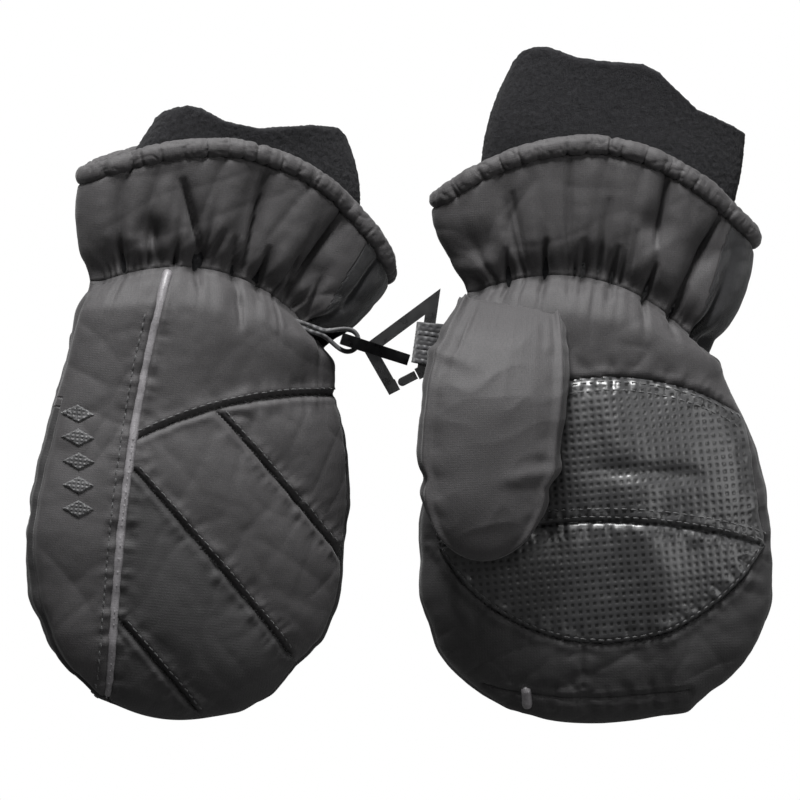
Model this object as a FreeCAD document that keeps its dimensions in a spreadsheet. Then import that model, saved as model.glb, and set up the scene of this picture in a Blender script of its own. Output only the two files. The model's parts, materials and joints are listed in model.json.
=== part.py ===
import FreeCAD, Part
import math
import os
from FreeCAD import Placement, Rotation, Vector

# A pair of insulated ski mittens lying side by side and clipped together.
# The left one lies on its palm with the thumb folded underneath, the right
# one on its back with the thumb on top. Millimetres, +Z up, +Y towards the
# cuffs, origin at the bottom centre of the pair's bounding box.

doc = FreeCAD.newDocument("ski_mitten_pair")
sheet = doc.addObject("Spreadsheet::Sheet", "sizes")

SIZES = [
    ("hand_length", 130.0, "wrist gather to fingertip, along the hand"),
    ("left_palm_width", 106.0, "widest part of the left hand as it lies"),
    ("right_palm_width", 112.0, "widest part of the right hand as it lies"),
    ("palm_thickness", 36.0, "puffed hand, back to palm"),
    ("wrist_width", 82.0, "gathered wrist"),
    ("wrist_thickness", 27.0, "gathered wrist, back to palm"),
    ("rim_width", 107.0, "gauntlet mouth laid flat"),
    ("rim_thickness", 34.0, "gauntlet mouth, back to palm"),
    ("gauntlet_length", 29.0, "wrist chord to rim chord"),
    ("wrist_rise", 14.0, "arch of the gather line over its chord"),
    ("rim_rise", 23.0, "arch of the rim over its chord"),
    ("gauntlet_lean", 10.0, "degrees that the gauntlet leans to the little finger"),
    ("left_wrist_tilt", -10.0, "degrees from square across, left gather line"),
    ("left_rim_tilt", -10.0, "degrees from square across, left rim"),
    ("right_wrist_tilt", -16.0, "degrees from square across, right gather line"),
    ("right_rim_tilt", -9.0, "degrees from square across, right rim"),
    ("left_tip_power", 2.0, "roundness of the left fingertip end"),
    ("right_tip_power", 2.8, "roundness of the right fingertip end"),
    ("shell_thickness", 1.0, "woven nylon shell and leather patches"),
    ("layer_gap", 0.3, "air between loose layers"),
    ("insulation_thickness", 3.0, "polyester wadding"),
    ("lining_thickness", 1.0, "brushed tricot lining"),
    ("hem_width", 6.0, "rolled hem along the gauntlet"),
    ("hem_proud", 2.0, "hem outside the gauntlet"),
    ("hem_depth", 2.5, "hem inside the gauntlet"),
    ("hem_wall", 1.0, "hem fabric round its elastic"),
    ("band_thickness", 1.2, "flat wrist elastic"),
    ("band_width", 9.0, "flat wrist elastic, along the hand"),
    ("fleece_thickness", 2.5, "knitted fleece inner cuff"),
    ("fleece_inset", 3.0, "fleece cuff inside the gathered wrist"),
    ("left_cuff_width", 72.0, "left fleece cuff at its mouth"),
    ("right_cuff_width", 84.0, "right fleece cuff at its mouth"),
    ("cuff_thickness", 27.0, "fleece cuff mouth, back to palm"),
    ("left_cuff_length", 54.0, "left fleece cuff beyond the wrist chord"),
    ("right_cuff_length", 72.0, "right fleece cuff beyond the wrist chord"),
    ("cuff_rise", 14.0, "arch of the fleece cuff's mouth"),
    ("piping_width", 3.2, "reflective piping"),
    ("piping_height", 1.4, "reflective piping above the shell"),
    ("piping_gap", 0.1, "piping off the shell"),
    ("thumb_length", 82.0, "thumb from its root to its tip"),
    ("thumb_width", 44.0, "thumb across"),
    ("left_thumb_thickness", 15.4, "left thumb, pressed flat under the hand"),
    ("right_thumb_thickness", 24.0, "right thumb, loose on the palm"),
    ("left_thumb_height", 5.6, "left thumb's middle off the palm's highest line"),
    ("right_thumb_height", 10.2, "right thumb's middle off the palm's highest line"),
    ("left_thumb_offset", -14.0, "left thumb's root from the hand's middle, tucked under"),
    ("right_thumb_offset", -24.9, "right thumb's root from the hand's middle"),
    ("thumb_root", 7.0, "thumb's root beyond the wrist chord"),
    ("thumb_lean", 7.0, "degrees that the thumb leans outwards"),
    ("thumb_clearance", 0.85, "thumb off the palm"),
    ("thumb_hole", 13.0, "radius of the way into the thumb"),
    ("left_turn", -5.5, "degrees, left hand about vertical"),
    ("left_roll", 16.0, "degrees, left hand's thumb side lifted"),
    ("left_height", 23.4, "left hand's middle above the floor"),
    ("left_place", -61.5, "left wrist along X"),
    ("left_forward", 24.0, "left wrist along Y"),
    ("right_turn", 2.0, "degrees, right hand about vertical"),
    ("right_roll", 0.0, "degrees, right hand's thumb side lifted"),
    ("floor_bite", 1.0, "how far the right hand's back flattens on the floor"),
    ("right_place", 60.2, "right wrist along X"),
    ("right_forward", 21.6, "right wrist along Y"),
    ("hook_bar", 22.6, "webbing bar of a hook"),
    ("hook_nose_reach", 18.0, "hook nose from its bar"),
    ("hook_nose_up", 4.8, "hook nose along its bar"),
    ("hook_heel_reach", 9.2, "hook heel from its bar"),
    ("hook_heel_down", 6.5, "hook heel below its bar's lower end"),
    ("hook_arm", 3.8, "width of a hook's arms"),
    ("hook_thickness", 3.6, "thickness of a hook"),
    ("gate_arm", 2.8, "width of a hook's gate"),
    ("gate_gap", 0.35, "gate to frame"),
    ("left_hook_place", -16.9, "left hook's bar along X"),
    ("left_hook_forward", 15.7, "left hook's bar along Y"),
    ("left_hook_height", 9.4, "lower end of the left hook's bar"),
    ("left_hook_turn", -17.7, "degrees, left hook about vertical"),
    ("right_hook_place", 7.2, "lower end of the right hook's bar along X"),
    ("right_hook_forward", 5.9, "lower end of the right hook's bar along Y"),
    ("right_hook_height", 14.0, "right hook's middle above the floor"),
    ("right_hook_turn", -8.1, "degrees, right hook's bar from +Y"),
    ("webbing_width", 13.0, "webbing along the hook's bar"),
    ("webbing_thickness", 1.2, "one layer of webbing"),
    ("webbing_side_gap", 0.5, "webbing's edge off the hook's lower arm"),
    ("webbing_clearance", 0.3, "webbing round the hook's bar"),
    ("left_webbing_reach", 24.0, "left webbing from its hook bar into the wrist seam"),
    ("right_webbing_reach", 22.0, "right webbing from its hook bar into the wrist seam"),
    ("seat_gap", 0.3, "webbing's end off the shell"),
]

for row, (alias, value, note) in enumerate(SIZES, start=1):
    sheet.set("A%d" % row, alias)
    sheet.set("B%d" % row, str(value))
    sheet.setAlias("B%d" % row, alias)
    sheet.set("C%d" % row, note)
doc.recompute()


def size(alias):
    """One driving dimension, read from the sheet."""
    return float(sheet.get(alias))


SIDE_SEAM = 0.5      # seam between back and palm above the hand's middle plane
THUMB_SEAM = 0.6     # thumb seam above the thumb's middle
FAR = 300.0          # longer than any piece, for cutting prisms
PAST = 1.12          # arched cuts run this much past the mitten's sides
SEAM = -2.0          # where round sections start, clear of every cutting plane (radians)
UP = Vector(0, 0, 1)
ACROSS = Vector(1, 0, 0)
ALONG = Vector(0, 1, 0)


def prism(start, steps):
    """A tall prism over a closed outline of straight runs and arcs in the XY plane."""
    edges = []
    here = Vector(start[0], start[1], -FAR)
    first = here
    for step in steps:
        there = Vector(step[-1][0], step[-1][1], -FAR)
        if len(step) == 2:
            middle = Vector(step[0][0], step[0][1], -FAR)
            edges.append(Part.Arc(here, middle, there).toShape())
        else:
            edges.append(Part.LineSegment(here, there).toShape())
        here = there
    if here.distanceToPoint(first) > 1e-6:
        edges.append(Part.LineSegment(here, first).toShape())
    return Part.Face(Part.Wire(edges)).extrude(Vector(0, 0, 2 * FAR))


def above(start, middle, end):
    """Everything on the cuff side of an arc from the thumb side to the little finger."""
    return prism(start, [(middle, end), ((FAR, end[1]),), ((FAR, FAR),), ((-FAR, FAR),), ((-FAR, start[1]),)])


def beside(start, middle, end):
    """Everything on the thumb side of an arc that runs down the hand."""
    return prism(start, [(middle, end), ((end[0], -FAR),), ((-FAR, -FAR),), ((-FAR, FAR),), ((start[0], FAR),)])


def under(start, end):
    """Everything on the fingertip side of a straight seam, which runs on past both ends."""
    run = Vector(end[0] - start[0], end[1] - start[1], 0)
    run.normalize()
    drop = Vector(run.y, -run.x, 0)
    first = Vector(start[0], start[1], 0) - run * FAR
    last = Vector(end[0], end[1], 0) + run * FAR
    low_last = last + drop * FAR
    low_first = first + drop * FAR
    return prism((first.x, first.y), [((last.x, last.y),), ((low_last.x, low_last.y),), ((low_first.x, low_first.y),)])


def ring_section(centre, turn, half_width, half_thickness):
    """An ellipse square to the hand, turned about the vertical."""
    curve = Part.Ellipse(Vector(0, 0, 0), half_width, half_thickness)
    wire = Part.Wire([curve.toShape(SEAM, SEAM + 2 * math.pi)])
    wire.Placement = Placement(centre, Rotation(UP, turn) * Rotation(ACROSS, 90))
    return wire


class Mitten:
    """One mitten in its own frame: wrist chord at the origin, fingertips along -Y.

    palm_side is +1 where the palm faces up and -1 where it faces the floor.
    """

    def __init__(self, side, palm_side):
        self.side = side
        self.palm_side = palm_side
        self.length = size("hand_length")
        self.palm = size(side + "_palm_width") / 2
        self.thick = size("palm_thickness") / 2
        self.wrist = size("wrist_width") / 2
        self.wrist_thick = size("wrist_thickness") / 2
        self.rim = size("rim_width") / 2
        self.rim_thick = size("rim_thickness") / 2
        self.wrist_tilt = size(side + "_wrist_tilt")
        self.rim_tilt = size(side + "_rim_tilt")
        self.tip_power = size(side + "_tip_power")
        self.gauntlet = size("gauntlet_length")
        self.lean = math.radians(size("gauntlet_lean"))
        self.cache = {}
        self.placement = self.make_placement()
        self.floor = Part.makeBox(2 * FAR, 2 * FAR, FAR, Vector(-FAR, -FAR, -FAR))
        self.floor.Placement = self.placement.inverse()

    def make_placement(self):
        height = size("palm_thickness") / 2 - size("floor_bite")
        if self.palm_side < 0:
            height = size("left_height")
        base = Vector(size(self.side + "_place"), size(self.side + "_forward"), height)
        turn = Rotation(UP, size(self.side + "_turn"))
        roll = Rotation(ALONG, size(self.side + "_roll"))
        return Placement(base, turn * roll)

    def cuff_axis(self, distance):
        """Point on the gauntlet's centreline, a distance beyond the wrist chord."""
        return Vector(math.sin(self.lean), math.cos(self.lean), 0) * distance

    def hand_half_width(self, down, depth):
        """Half width of the hand a distance down from the wrist, inside by depth."""
        widest = 0.56 * self.length
        if down < widest:
            swell = math.sin(math.pi / 2 * down / widest)
            return self.wrist - depth + (self.palm - self.wrist) * swell
        share = (down - widest) / (self.length - depth - widest)
        return (self.palm - depth) * math.sqrt(1 - share ** self.tip_power)

    def hand_half_thickness(self, down, depth):
        """Half thickness of the hand a distance down from the wrist, inside by depth."""
        fullest = 0.4 * self.length
        if down < fullest:
            swell = math.sin(math.pi / 2 * down / fullest)
            return self.wrist_thick - depth + (self.thick - self.wrist_thick) * swell
        share = (down - fullest) / (self.length - depth - fullest)
        return (self.thick - depth) * math.sqrt(1 - share ** 2.4)

    def hand_section(self, share, depth):
        """Section of the hand at a share of its length, wrist 0 and tip 1."""
        down = share * (self.length - depth)
        fade = max(0.0, 1 - down / (0.35 * self.length))
        centre = Vector(0, -down, 0)
        width = self.hand_half_width(down, depth)
        thickness = self.hand_half_thickness(down, depth)
        return ring_section(centre, self.wrist_tilt * fade ** 2, width, thickness)

    def gauntlet_section(self, share, depth):
        """Section of the gauntlet, 0 at the wrist chord and 1 at the rim chord."""
        near = min(share, 1.0)
        flare = math.sin(math.pi / 2 * near)
        width = self.wrist + (self.rim - self.wrist) * flare - depth
        swell = min(1.0, share / 1.6)
        thickness = self.wrist_thick + (self.rim_thick - self.wrist_thick) * swell - depth
        tilt = self.wrist_tilt + (self.rim_tilt - self.wrist_tilt) * near
        return ring_section(self.cuff_axis(share * self.gauntlet), tilt, width, thickness)

    def form(self, depth):
        """The whole mitten's form without its thumb, inside the outer face by depth."""
        key = round(depth, 4)
        if key not in self.cache:
            tip_to_wrist = [0.985, 0.94, 0.87, 0.78, 0.66, 0.53, 0.4, 0.26, 0.13, 0.0]
            wrist_to_rim = [0.35, 0.7, 1.0, 1.6]
            wires = [self.hand_section(share, depth) for share in tip_to_wrist]
            wires += [self.gauntlet_section(share, depth) for share in wrist_to_rim]
            wires.append(self.gauntlet_section(2.4 + 0.02 * depth, depth))
            self.cache[key] = Part.makeLoft(wires, True, True)
        return self.cache[key]

    def layer(self, outer, inner):
        """The closed skin between two depths."""
        return self.form(outer).cut(self.form(inner))

    def arc_across(self, distance, tilt, half_chord, rise):
        """Start, middle and end of an arched line across the cuff."""
        centre = self.cuff_axis(distance)
        turn = Rotation(UP, tilt)
        chord = turn.multVec(ACROSS) * half_chord * PAST
        upward = turn.multVec(ALONG)
        crown = centre + upward * rise
        foot = centre - upward * rise * (PAST ** 2 - 1)
        start = foot - chord
        end = foot + chord
        return (start.x, start.y), (crown.x, crown.y), (end.x, end.y)

    def above_wrist(self, shift=0.0):
        """Everything beyond the gather line, moved along the hand by shift."""
        start, middle, end = self.arc_across(shift, self.wrist_tilt, self.wrist, size("wrist_rise"))
        return above(start, middle, end)

    def above_rim(self, shift=0.0):
        """Everything beyond the gauntlet's rim, moved along it by shift."""
        reach = self.gauntlet + shift
        start, middle, end = self.arc_across(reach, self.rim_tilt, self.rim, size("rim_rise"))
        return above(start, middle, end)

    def at(self, across, down):
        """A seam point: share of the half palm across, share of the hand's length down."""
        return across * self.palm, -down * self.length

    def half(self, palm):
        """The half space on the palm's side of the hand's middle plane, or on the back's."""
        up = (self.palm_side > 0) == palm
        low = SIDE_SEAM if up else SIDE_SEAM - FAR
        return Part.makeBox(2 * FAR, 2 * FAR, FAR, Vector(-FAR, -FAR, low))

    def thumb_axis(self, share):
        """Point on the thumb's centreline, root 0 and tip 1, off the middle plane."""
        lean = math.radians(size("thumb_lean"))
        distance = share * size("thumb_length")
        across = size(self.side + "_thumb_offset") - math.sin(lean) * distance
        along = size("thumb_root") - math.cos(lean) * distance
        lift = math.sin(math.pi / 2 * min(1.0, share / 0.45))
        height = self.thick * 0.62 + (self.thick * 0.38 + size(self.side + "_thumb_height")) * lift
        return Vector(across, along, self.palm_side * height)

    def thumb_form(self, depth):
        """The thumb's form, inside its outer face by depth."""
        key = "thumb%.4f" % depth
        if key not in self.cache:
            wires = []
            half_thickness = size(self.side + "_thumb_thickness") / 2
            inset = depth / size("thumb_length")
            for share in (0.0, 0.12, 0.28, 0.45, 0.62, 0.76, 0.87, 0.95, 0.99):
                root = 0.72 + 0.28 * math.sin(math.pi / 2 * min(1.0, share / 0.4))
                past = max(0.0, (share - 0.5) / 0.5)
                tip = math.sqrt(1 - past ** 2.3)
                width = (size("thumb_width") / 2 - depth) * root * tip
                thickness = (half_thickness - depth) * root * tip
                centre = self.thumb_axis(inset + share * (1 - 2 * inset))
                wires.append(ring_section(centre, -size("thumb_lean"), width, thickness))
            self.cache[key] = Part.makeLoft(wires, True, True)
        return self.cache[key]

    def thumb_way(self):
        """The hole from the hand into the thumb."""
        centre = self.thumb_axis(0.24)
        low = min(0.0, centre.z)
        return Part.makeCylinder(size("thumb_hole"), abs(centre.z), Vector(centre.x, centre.y, low))

    def keep(self, name, shape):
        """Trim a piece flat where the mitten lies on the floor and store it."""
        node = doc.addObject("Part::Feature", self.side + "_" + name)
        node.Label = self.side + "_" + name
        node.Shape = shape.cut(self.floor)
        node.Placement = self.placement
        return node


def depths():
    """Depths of the layers' faces below the outer face, from the shell inwards."""
    shell = size("shell_thickness")
    wadding = shell + size("layer_gap")
    wadding_end = wadding + size("insulation_thickness")
    lining = wadding_end + size("layer_gap")
    return shell, wadding, wadding_end, lining, lining + size("lining_thickness")


def make_back_panels(mitten, shell):
    """Six shell panels on the back of the hand, parted along their seams."""
    back = shell.common(mitten.half(palm=False)).cut(mitten.above_wrist())
    thumb_side = beside(mitten.at(-0.30, -0.14), mitten.at(-0.465, 0.38), mitten.at(-0.405, 0.96))
    arch = above(mitten.at(-0.42, 0.315), mitten.at(0.02, 0.228), mitten.at(0.80, 0.168))
    slant_one = under(mitten.at(0.02, 0.228), mitten.at(0.75, 0.497))
    slant_two = under(mitten.at(-0.41, 0.406), mitten.at(0.62, 0.797))
    slant_three = under(mitten.at(-0.39, 0.778), mitten.at(0.135, 0.97))
    field = back.cut(thumb_side)
    below_arch = field.cut(arch)
    past_one = below_arch.common(slant_one)
    past_two = past_one.common(slant_two)
    mitten.keep("side_back_panel", back.common(thumb_side))
    mitten.keep("upper_back_panel", field.common(arch))
    mitten.keep("outer_back_panel", below_arch.cut(slant_one))
    mitten.keep("middle_back_panel", past_one.cut(slant_two))
    mitten.keep("lower_back_panel", past_two.cut(slant_three))
    mitten.keep("tip_back_panel", past_two.common(slant_three))


def make_palm_panels(mitten, shell, way):
    """Leather patches on the palm, the wrist panel above them and the gusset round them."""
    palm = shell.common(mitten.half(palm=True)).cut(mitten.above_wrist()).cut(way)
    patch_zone = prism(mitten.at(-0.80, 0.262), [
        (mitten.at(0.09, 0.138), mitten.at(0.87, 0.245)),
        (mitten.at(0.96, 0.56),),
        (mitten.at(-0.09, 0.785), mitten.at(-0.90, 0.545)),
    ])
    upper_zone = above(mitten.at(-0.90, 0.54), mitten.at(0.27, 0.497), mitten.at(0.95, 0.565))
    wrist_zone = above(mitten.at(-0.80, 0.262), mitten.at(0.09, 0.138), mitten.at(0.87, 0.245))
    patch = palm.common(patch_zone)
    rest = palm.cut(patch_zone)
    mitten.keep("palm_patch_upper", patch.common(upper_zone))
    mitten.keep("palm_patch_lower", patch.cut(upper_zone))
    mitten.keep("wrist_palm_panel", rest.common(wrist_zone))
    mitten.keep("palm_gusset", rest.cut(wrist_zone))


def make_gauntlet(mitten, shell):
    """Gauntlet panels, the velvet gusset at the little finger's side and the rolled hem."""
    ring = shell.common(mitten.above_wrist()).cut(mitten.above_rim())
    seam = mitten.cuff_axis(mitten.gauntlet).x + mitten.rim * 0.78
    box = Part.makeBox(FAR, 2 * FAR, 2 * FAR, Vector(seam, -FAR, -FAR))
    rest = ring.cut(box)
    mitten.keep("gauntlet_gusset", ring.common(box))
    mitten.keep("gauntlet_back_panel", rest.common(mitten.half(palm=False)))
    mitten.keep("gauntlet_palm_panel", rest.common(mitten.half(palm=True)))
    width = size("hem_width")
    wall = size("hem_wall")
    slack = size("layer_gap")
    proud = size("hem_proud")
    depth = size("hem_depth")
    hem = mitten.layer(-proud, depth).common(mitten.above_rim()).cut(mitten.above_rim(width))
    channel = mitten.layer(wall - proud, depth - wall)
    channel = channel.common(mitten.above_rim(wall)).cut(mitten.above_rim(width - wall))
    band = mitten.layer(wall + slack - proud, depth - wall - slack)
    band = band.common(mitten.above_rim(wall + slack)).cut(mitten.above_rim(width - wall - slack))
    mitten.keep("gauntlet_hem", hem.cut(channel))
    mitten.keep("hem_elastic", band)


def make_inner_layers(mitten, way):
    """Wadding, lining and the flat elastic that gathers the wrist."""
    shell, wadding, wadding_end, lining, lining_end = depths()
    band_half = size("band_width") / 2
    band = mitten.layer(wadding, wadding + size("band_thickness"))
    band = band.common(mitten.above_wrist(-band_half)).cut(mitten.above_wrist(band_half))
    mitten.keep("wrist_elastic", band)
    below_band = mitten.above_wrist(-band_half - size("layer_gap"))
    mitten.keep("hand_insulation", mitten.layer(wadding, wadding_end).cut(below_band).cut(way))
    mitten.keep("hand_lining", mitten.layer(lining, lining_end).cut(mitten.above_wrist()).cut(way))


def cuff_form(mitten, depth):
    """The fleece cuff's form, inside its outer face by depth."""
    inset = size("fleece_inset")
    mouth = size(mitten.side + "_cuff_width") / 2
    mouth_thick = size("cuff_thickness") / 2
    length = size(mitten.side + "_cuff_length") + size("cuff_rise")
    wires = []
    for share in (-0.1, 0.0, 0.35, 0.7, 1.1):
        grow = max(0.0, min(1.0, share))
        width = mitten.wrist - inset + (mouth - mitten.wrist + inset) * grow - depth
        thickness = mitten.wrist_thick - inset + (mouth_thick - mitten.wrist_thick + inset) * grow - depth
        tilt = mitten.wrist_tilt + (mitten.rim_tilt - mitten.wrist_tilt) * grow
        wires.append(ring_section(mitten.cuff_axis(share * length), tilt, width, thickness))
    return Part.makeLoft(wires, True, True)


def make_fleece_cuff(mitten):
    """The fleece inner cuff, sewn in at the wrist and standing out of the gauntlet."""
    tube = cuff_form(mitten, 0.0).cut(cuff_form(mitten, size("fleece_thickness")))
    reach = size(mitten.side + "_cuff_length")
    mouth = size(mitten.side + "_cuff_width") / 2
    start, middle, end = mitten.arc_across(reach, mitten.rim_tilt, mouth, size("cuff_rise"))
    mitten.keep("fleece_cuff", tube.common(mitten.above_wrist()).cut(above(start, middle, end)))


def make_piping(mitten):
    """Reflective piping, a narrow strip standing on the seam down the back."""
    half = size("piping_width") / 2 / mitten.palm
    low = size("piping_gap")
    strip = mitten.layer(-low - size("piping_height"), -low).common(mitten.half(palm=False))
    outer = beside(mitten.at(-0.30 - half, -0.14), mitten.at(-0.465 - half, 0.38), mitten.at(-0.405 - half, 0.96))
    inner = beside(mitten.at(-0.30 + half, -0.14), mitten.at(-0.465 + half, 0.38), mitten.at(-0.405 + half, 0.96))
    mitten.keep("reflective_piping", strip.common(inner).cut(outer).cut(mitten.above_wrist(-1.0)))


def make_thumb(mitten, way):
    """The thumb's two shell panels with their own wadding and lining."""
    shell, wadding, wadding_end, lining, lining_end = depths()
    clear = mitten.form(-size("thumb_clearance"))
    skin = mitten.thumb_form(0.0).cut(mitten.thumb_form(shell)).cut(clear).cut(way)
    middle = mitten.thumb_axis(0.6).z + THUMB_SEAM
    up = mitten.palm_side > 0
    low = middle if up else middle - FAR
    outer_half = Part.makeBox(2 * FAR, 2 * FAR, FAR, Vector(-FAR, -FAR, low))
    mitten.keep("thumb_outer_panel", skin.common(outer_half))
    mitten.keep("thumb_inner_panel", skin.cut(outer_half))
    pad = mitten.thumb_form(wadding).cut(mitten.thumb_form(wadding_end)).cut(clear).cut(way)
    mitten.keep("thumb_insulation", pad)
    sock = mitten.thumb_form(lining).cut(mitten.thumb_form(lining_end)).cut(clear).cut(way)
    mitten.keep("thumb_lining", sock)


def make_mitten(side, palm_side):
    """All of one mitten's soft pieces."""
    mitten = Mitten(side, palm_side)
    shell = mitten.layer(0.0, size("shell_thickness"))
    way = mitten.thumb_way()
    make_back_panels(mitten, shell)
    make_palm_panels(mitten, shell, way)
    make_gauntlet(mitten, shell)
    make_inner_layers(mitten, way)
    make_fleece_cuff(mitten)
    make_piping(mitten)
    make_thumb(mitten, way)
    return mitten


def hook_points():
    """Corners of a hook: its webbing bar runs from heel side to shoulder along +Y, its nose to -X."""
    low = Vector(0, 0, 0)
    shoulder = Vector(0, size("hook_bar"), 0)
    nose = Vector(-size("hook_nose_reach"), size("hook_nose_up"), 0)
    heel = Vector(-size("hook_heel_reach"), -size("hook_heel_down"), 0)
    return low, shoulder, nose, heel


def offset_line(points, distance):
    """An open polyline moved sideways to its left, with mitred corners."""
    moved = []
    for index, point in enumerate(points):
        normals = []
        for first, last in ((index - 1, index), (index, index + 1)):
            if first >= 0 and last < len(points):
                run = points[last] - points[first]
                run.normalize()
                normals.append(Vector(-run.y, run.x, 0))
        if len(normals) == 1:
            moved.append(point + normals[0] * distance)
        else:
            mean = normals[0] + normals[1]
            moved.append(point + mean * (2 * distance / mean.dot(mean)))
    return moved


def origin_plane(body, role):
    """One of a body's own origin planes."""
    for feature in body.Origin.OriginFeatures:
        if feature.Role == role:
            return feature
    raise ValueError("no plane " + role)


def padded_body(name, edges, thickness_expression, placement):
    """A PartDesign body: one sketch on its XY plane, padded both ways."""
    body = doc.addObject("PartDesign::Body", name)
    body.Label = name
    sketch = body.newObject("Sketcher::SketchObject", name + "_sketch")
    sketch.AttachmentSupport = [(origin_plane(body, "XY_Plane"), "")]
    sketch.MapMode = "FlatFace"
    for edge in edges:
        sketch.addGeometry(edge, False)
    pad = body.newObject("PartDesign::Pad", name + "_pad")
    pad.Profile = sketch
    pad.Midplane = True
    pad.setExpression("Length", thickness_expression)
    body.Tip = pad
    body.Placement = placement
    return body


def closed_run(points):
    """Straight edges round a closed outline."""
    return [Part.LineSegment(a, b) for a, b in zip(points, points[1:] + points[:1])]


def make_hook(side, placement):
    """A snap hook: a bent frame, and the gate that closes it between heel and bar."""
    low, shoulder, nose, heel = hook_points()
    closing = low - heel
    closing.normalize()
    stub = size("hook_arm") * 0.55
    path = [heel + closing * stub, heel, nose, shoulder, low, low - closing * stub]
    half = size("hook_arm") / 2
    outline = offset_line(path, half) + offset_line(path, -half)[::-1]
    padded_body(side + "_hook_frame", closed_run(outline), "sizes.hook_thickness", placement)
    gate_half = size("gate_arm") / 2
    pivot = heel + closing * (stub + size("gate_gap") + gate_half)
    free = low - closing * (stub + size("gate_gap"))
    normal = Vector(-closing.y, closing.x, 0) * gate_half
    edges = [
        Part.LineSegment(pivot + normal, free + normal),
        Part.LineSegment(free + normal, free - normal),
        Part.LineSegment(free - normal, pivot - normal),
        Part.Arc(pivot - normal, pivot - closing * gate_half, pivot + normal),
    ]
    padded_body(side + "_hook_gate", edges, "sizes.hook_thickness", placement)
    return placement.multVec(pivot)


def make_webbing(mitten, placement):
    """Webbing folded round a hook's bar, both layers sewn together into the wrist seam."""
    reach = size(mitten.side + "_webbing_reach")
    inner = math.hypot(size("hook_arm"), size("hook_thickness")) / 2 + size("webbing_clearance")
    outer = inner + size("webbing_thickness")
    joined = inner * 3
    half_stack = size("webbing_thickness")
    low = size("hook_arm") / 2 + size("webbing_side_gap")
    fold = Part.makeCylinder(outer, size("webbing_width"), Vector(0, low, 0), ALONG)
    taper = [Vector(0, low, outer), Vector(joined, low, half_stack), Vector(reach, low, half_stack),
             Vector(reach, low, -half_stack), Vector(joined, low, -half_stack), Vector(0, low, -outer)]
    legs = Part.Face(Part.makePolygon(taper + taper[:1])).extrude(ALONG * size("webbing_width"))
    hole = Part.makeCylinder(inner, size("webbing_width"), Vector(0, low, 0), ALONG)
    wedge_points = [Vector(0, low, inner), Vector(joined, low, 0), Vector(0, low, -inner)]
    wedge = Part.Face(Part.makePolygon(wedge_points + wedge_points[:1])).extrude(ALONG * size("webbing_width"))
    loop = fold.fuse(legs).cut(hole).cut(wedge)
    form = mitten.form(-size("seat_gap")).copy()
    form.Placement = placement.inverse() * mitten.placement
    node = doc.addObject("Part::Feature", mitten.side + "_webbing_loop")
    node.Label = mitten.side + "_webbing_loop"
    node.Shape = largest(loop.cut(form))
    node.Placement = placement


def largest(shape):
    """The biggest solid of a shape, dropping the offcuts."""
    return max(shape.Solids, key=lambda solid: solid.Volume)


def left_hook_placement():
    """The left hook stands on edge, its nose to the right."""
    base = Vector(size("left_hook_place"), size("left_hook_forward"), size("left_hook_height"))
    upright = Rotation(Vector(-1, 0, 0), Vector(0, 0, 1), Vector(0, 1, 0), "XYZ")
    return Placement(base, Rotation(UP, size("left_hook_turn")) * upright)


def right_hook_placement():
    """The right hook lies flat, its nose to the left."""
    base = Vector(size("right_hook_place"), size("right_hook_forward"), size("right_hook_height"))
    return Placement(base, Rotation(UP, size("right_hook_turn")))


left = make_mitten("left", -1)
right = make_mitten("right", 1)
left_hook = left_hook_placement()
right_hook = right_hook_placement()
left_gate_pivot = make_hook("left", left_hook)
right_gate_pivot = make_hook("right", right_hook)
make_webbing(left, left_hook)
make_webbing(right, right_hook)
doc.recompute()

nodes = [item for item in doc.Objects if item.TypeId in ("Part::Feature", "PartDesign::Body")]
for item in doc.Objects:
    if "Invalid" in item.State or "Error" in item.State:
        raise RuntimeError(item.Name + " failed")
for node in nodes:
    if node.Shape.isNull() or not node.Shape.isValid() or not node.Shape.Solids:
        raise RuntimeError(node.Label + " has no valid solid")


def corner_points(shape):
    """Points of a shape's surface, close enough together to measure its reach."""
    return shape.tessellate(0.2)[0]


points = [point for node in nodes for point in corner_points(node.Shape)]
low = Vector(min(p.x for p in points), min(p.y for p in points), min(p.z for p in points))
high = Vector(max(p.x for p in points), max(p.y for p in points), max(p.z for p in points))
shift = Vector(-(low.x + high.x) / 2, -(low.y + high.y) / 2, -low.z)
for node in nodes:
    node.Placement = Placement(shift, Rotation()) * node.Placement
doc.recompute()

print("box", low, high, "shift", shift)
mount_points = {
    "left_thumb": left.placement.multVec(left.thumb_axis(0.0)),
    "right_thumb": right.placement.multVec(right.thumb_axis(0.0)),
    "left_bar_low": left_hook.multVec(Vector(0, 0, 0)),
    "left_bar_high": left_hook.multVec(hook_points()[1]),
    "left_nose": left_hook.multVec(hook_points()[2]),
    "left_heel": left_hook.multVec(hook_points()[3]),
    "right_bar_low": right_hook.multVec(Vector(0, 0, 0)),
    "right_bar_high": right_hook.multVec(hook_points()[1]),
    "right_nose": right_hook.multVec(hook_points()[2]),
    "right_heel": right_hook.multVec(hook_points()[3]),
    "left_gate": left_gate_pivot,
    "right_gate": right_gate_pivot,
}
for name, point in mount_points.items():
    print("point", name, tuple(round(value, 3) for value in point + shift))

os.makedirs("parts", exist_ok=True)
for node in nodes:
    node.Shape.exportStep(os.path.join("parts", node.Label + ".step"))
print("wrote", len(nodes), "nodes")
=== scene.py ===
# %% [markdown]
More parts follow.
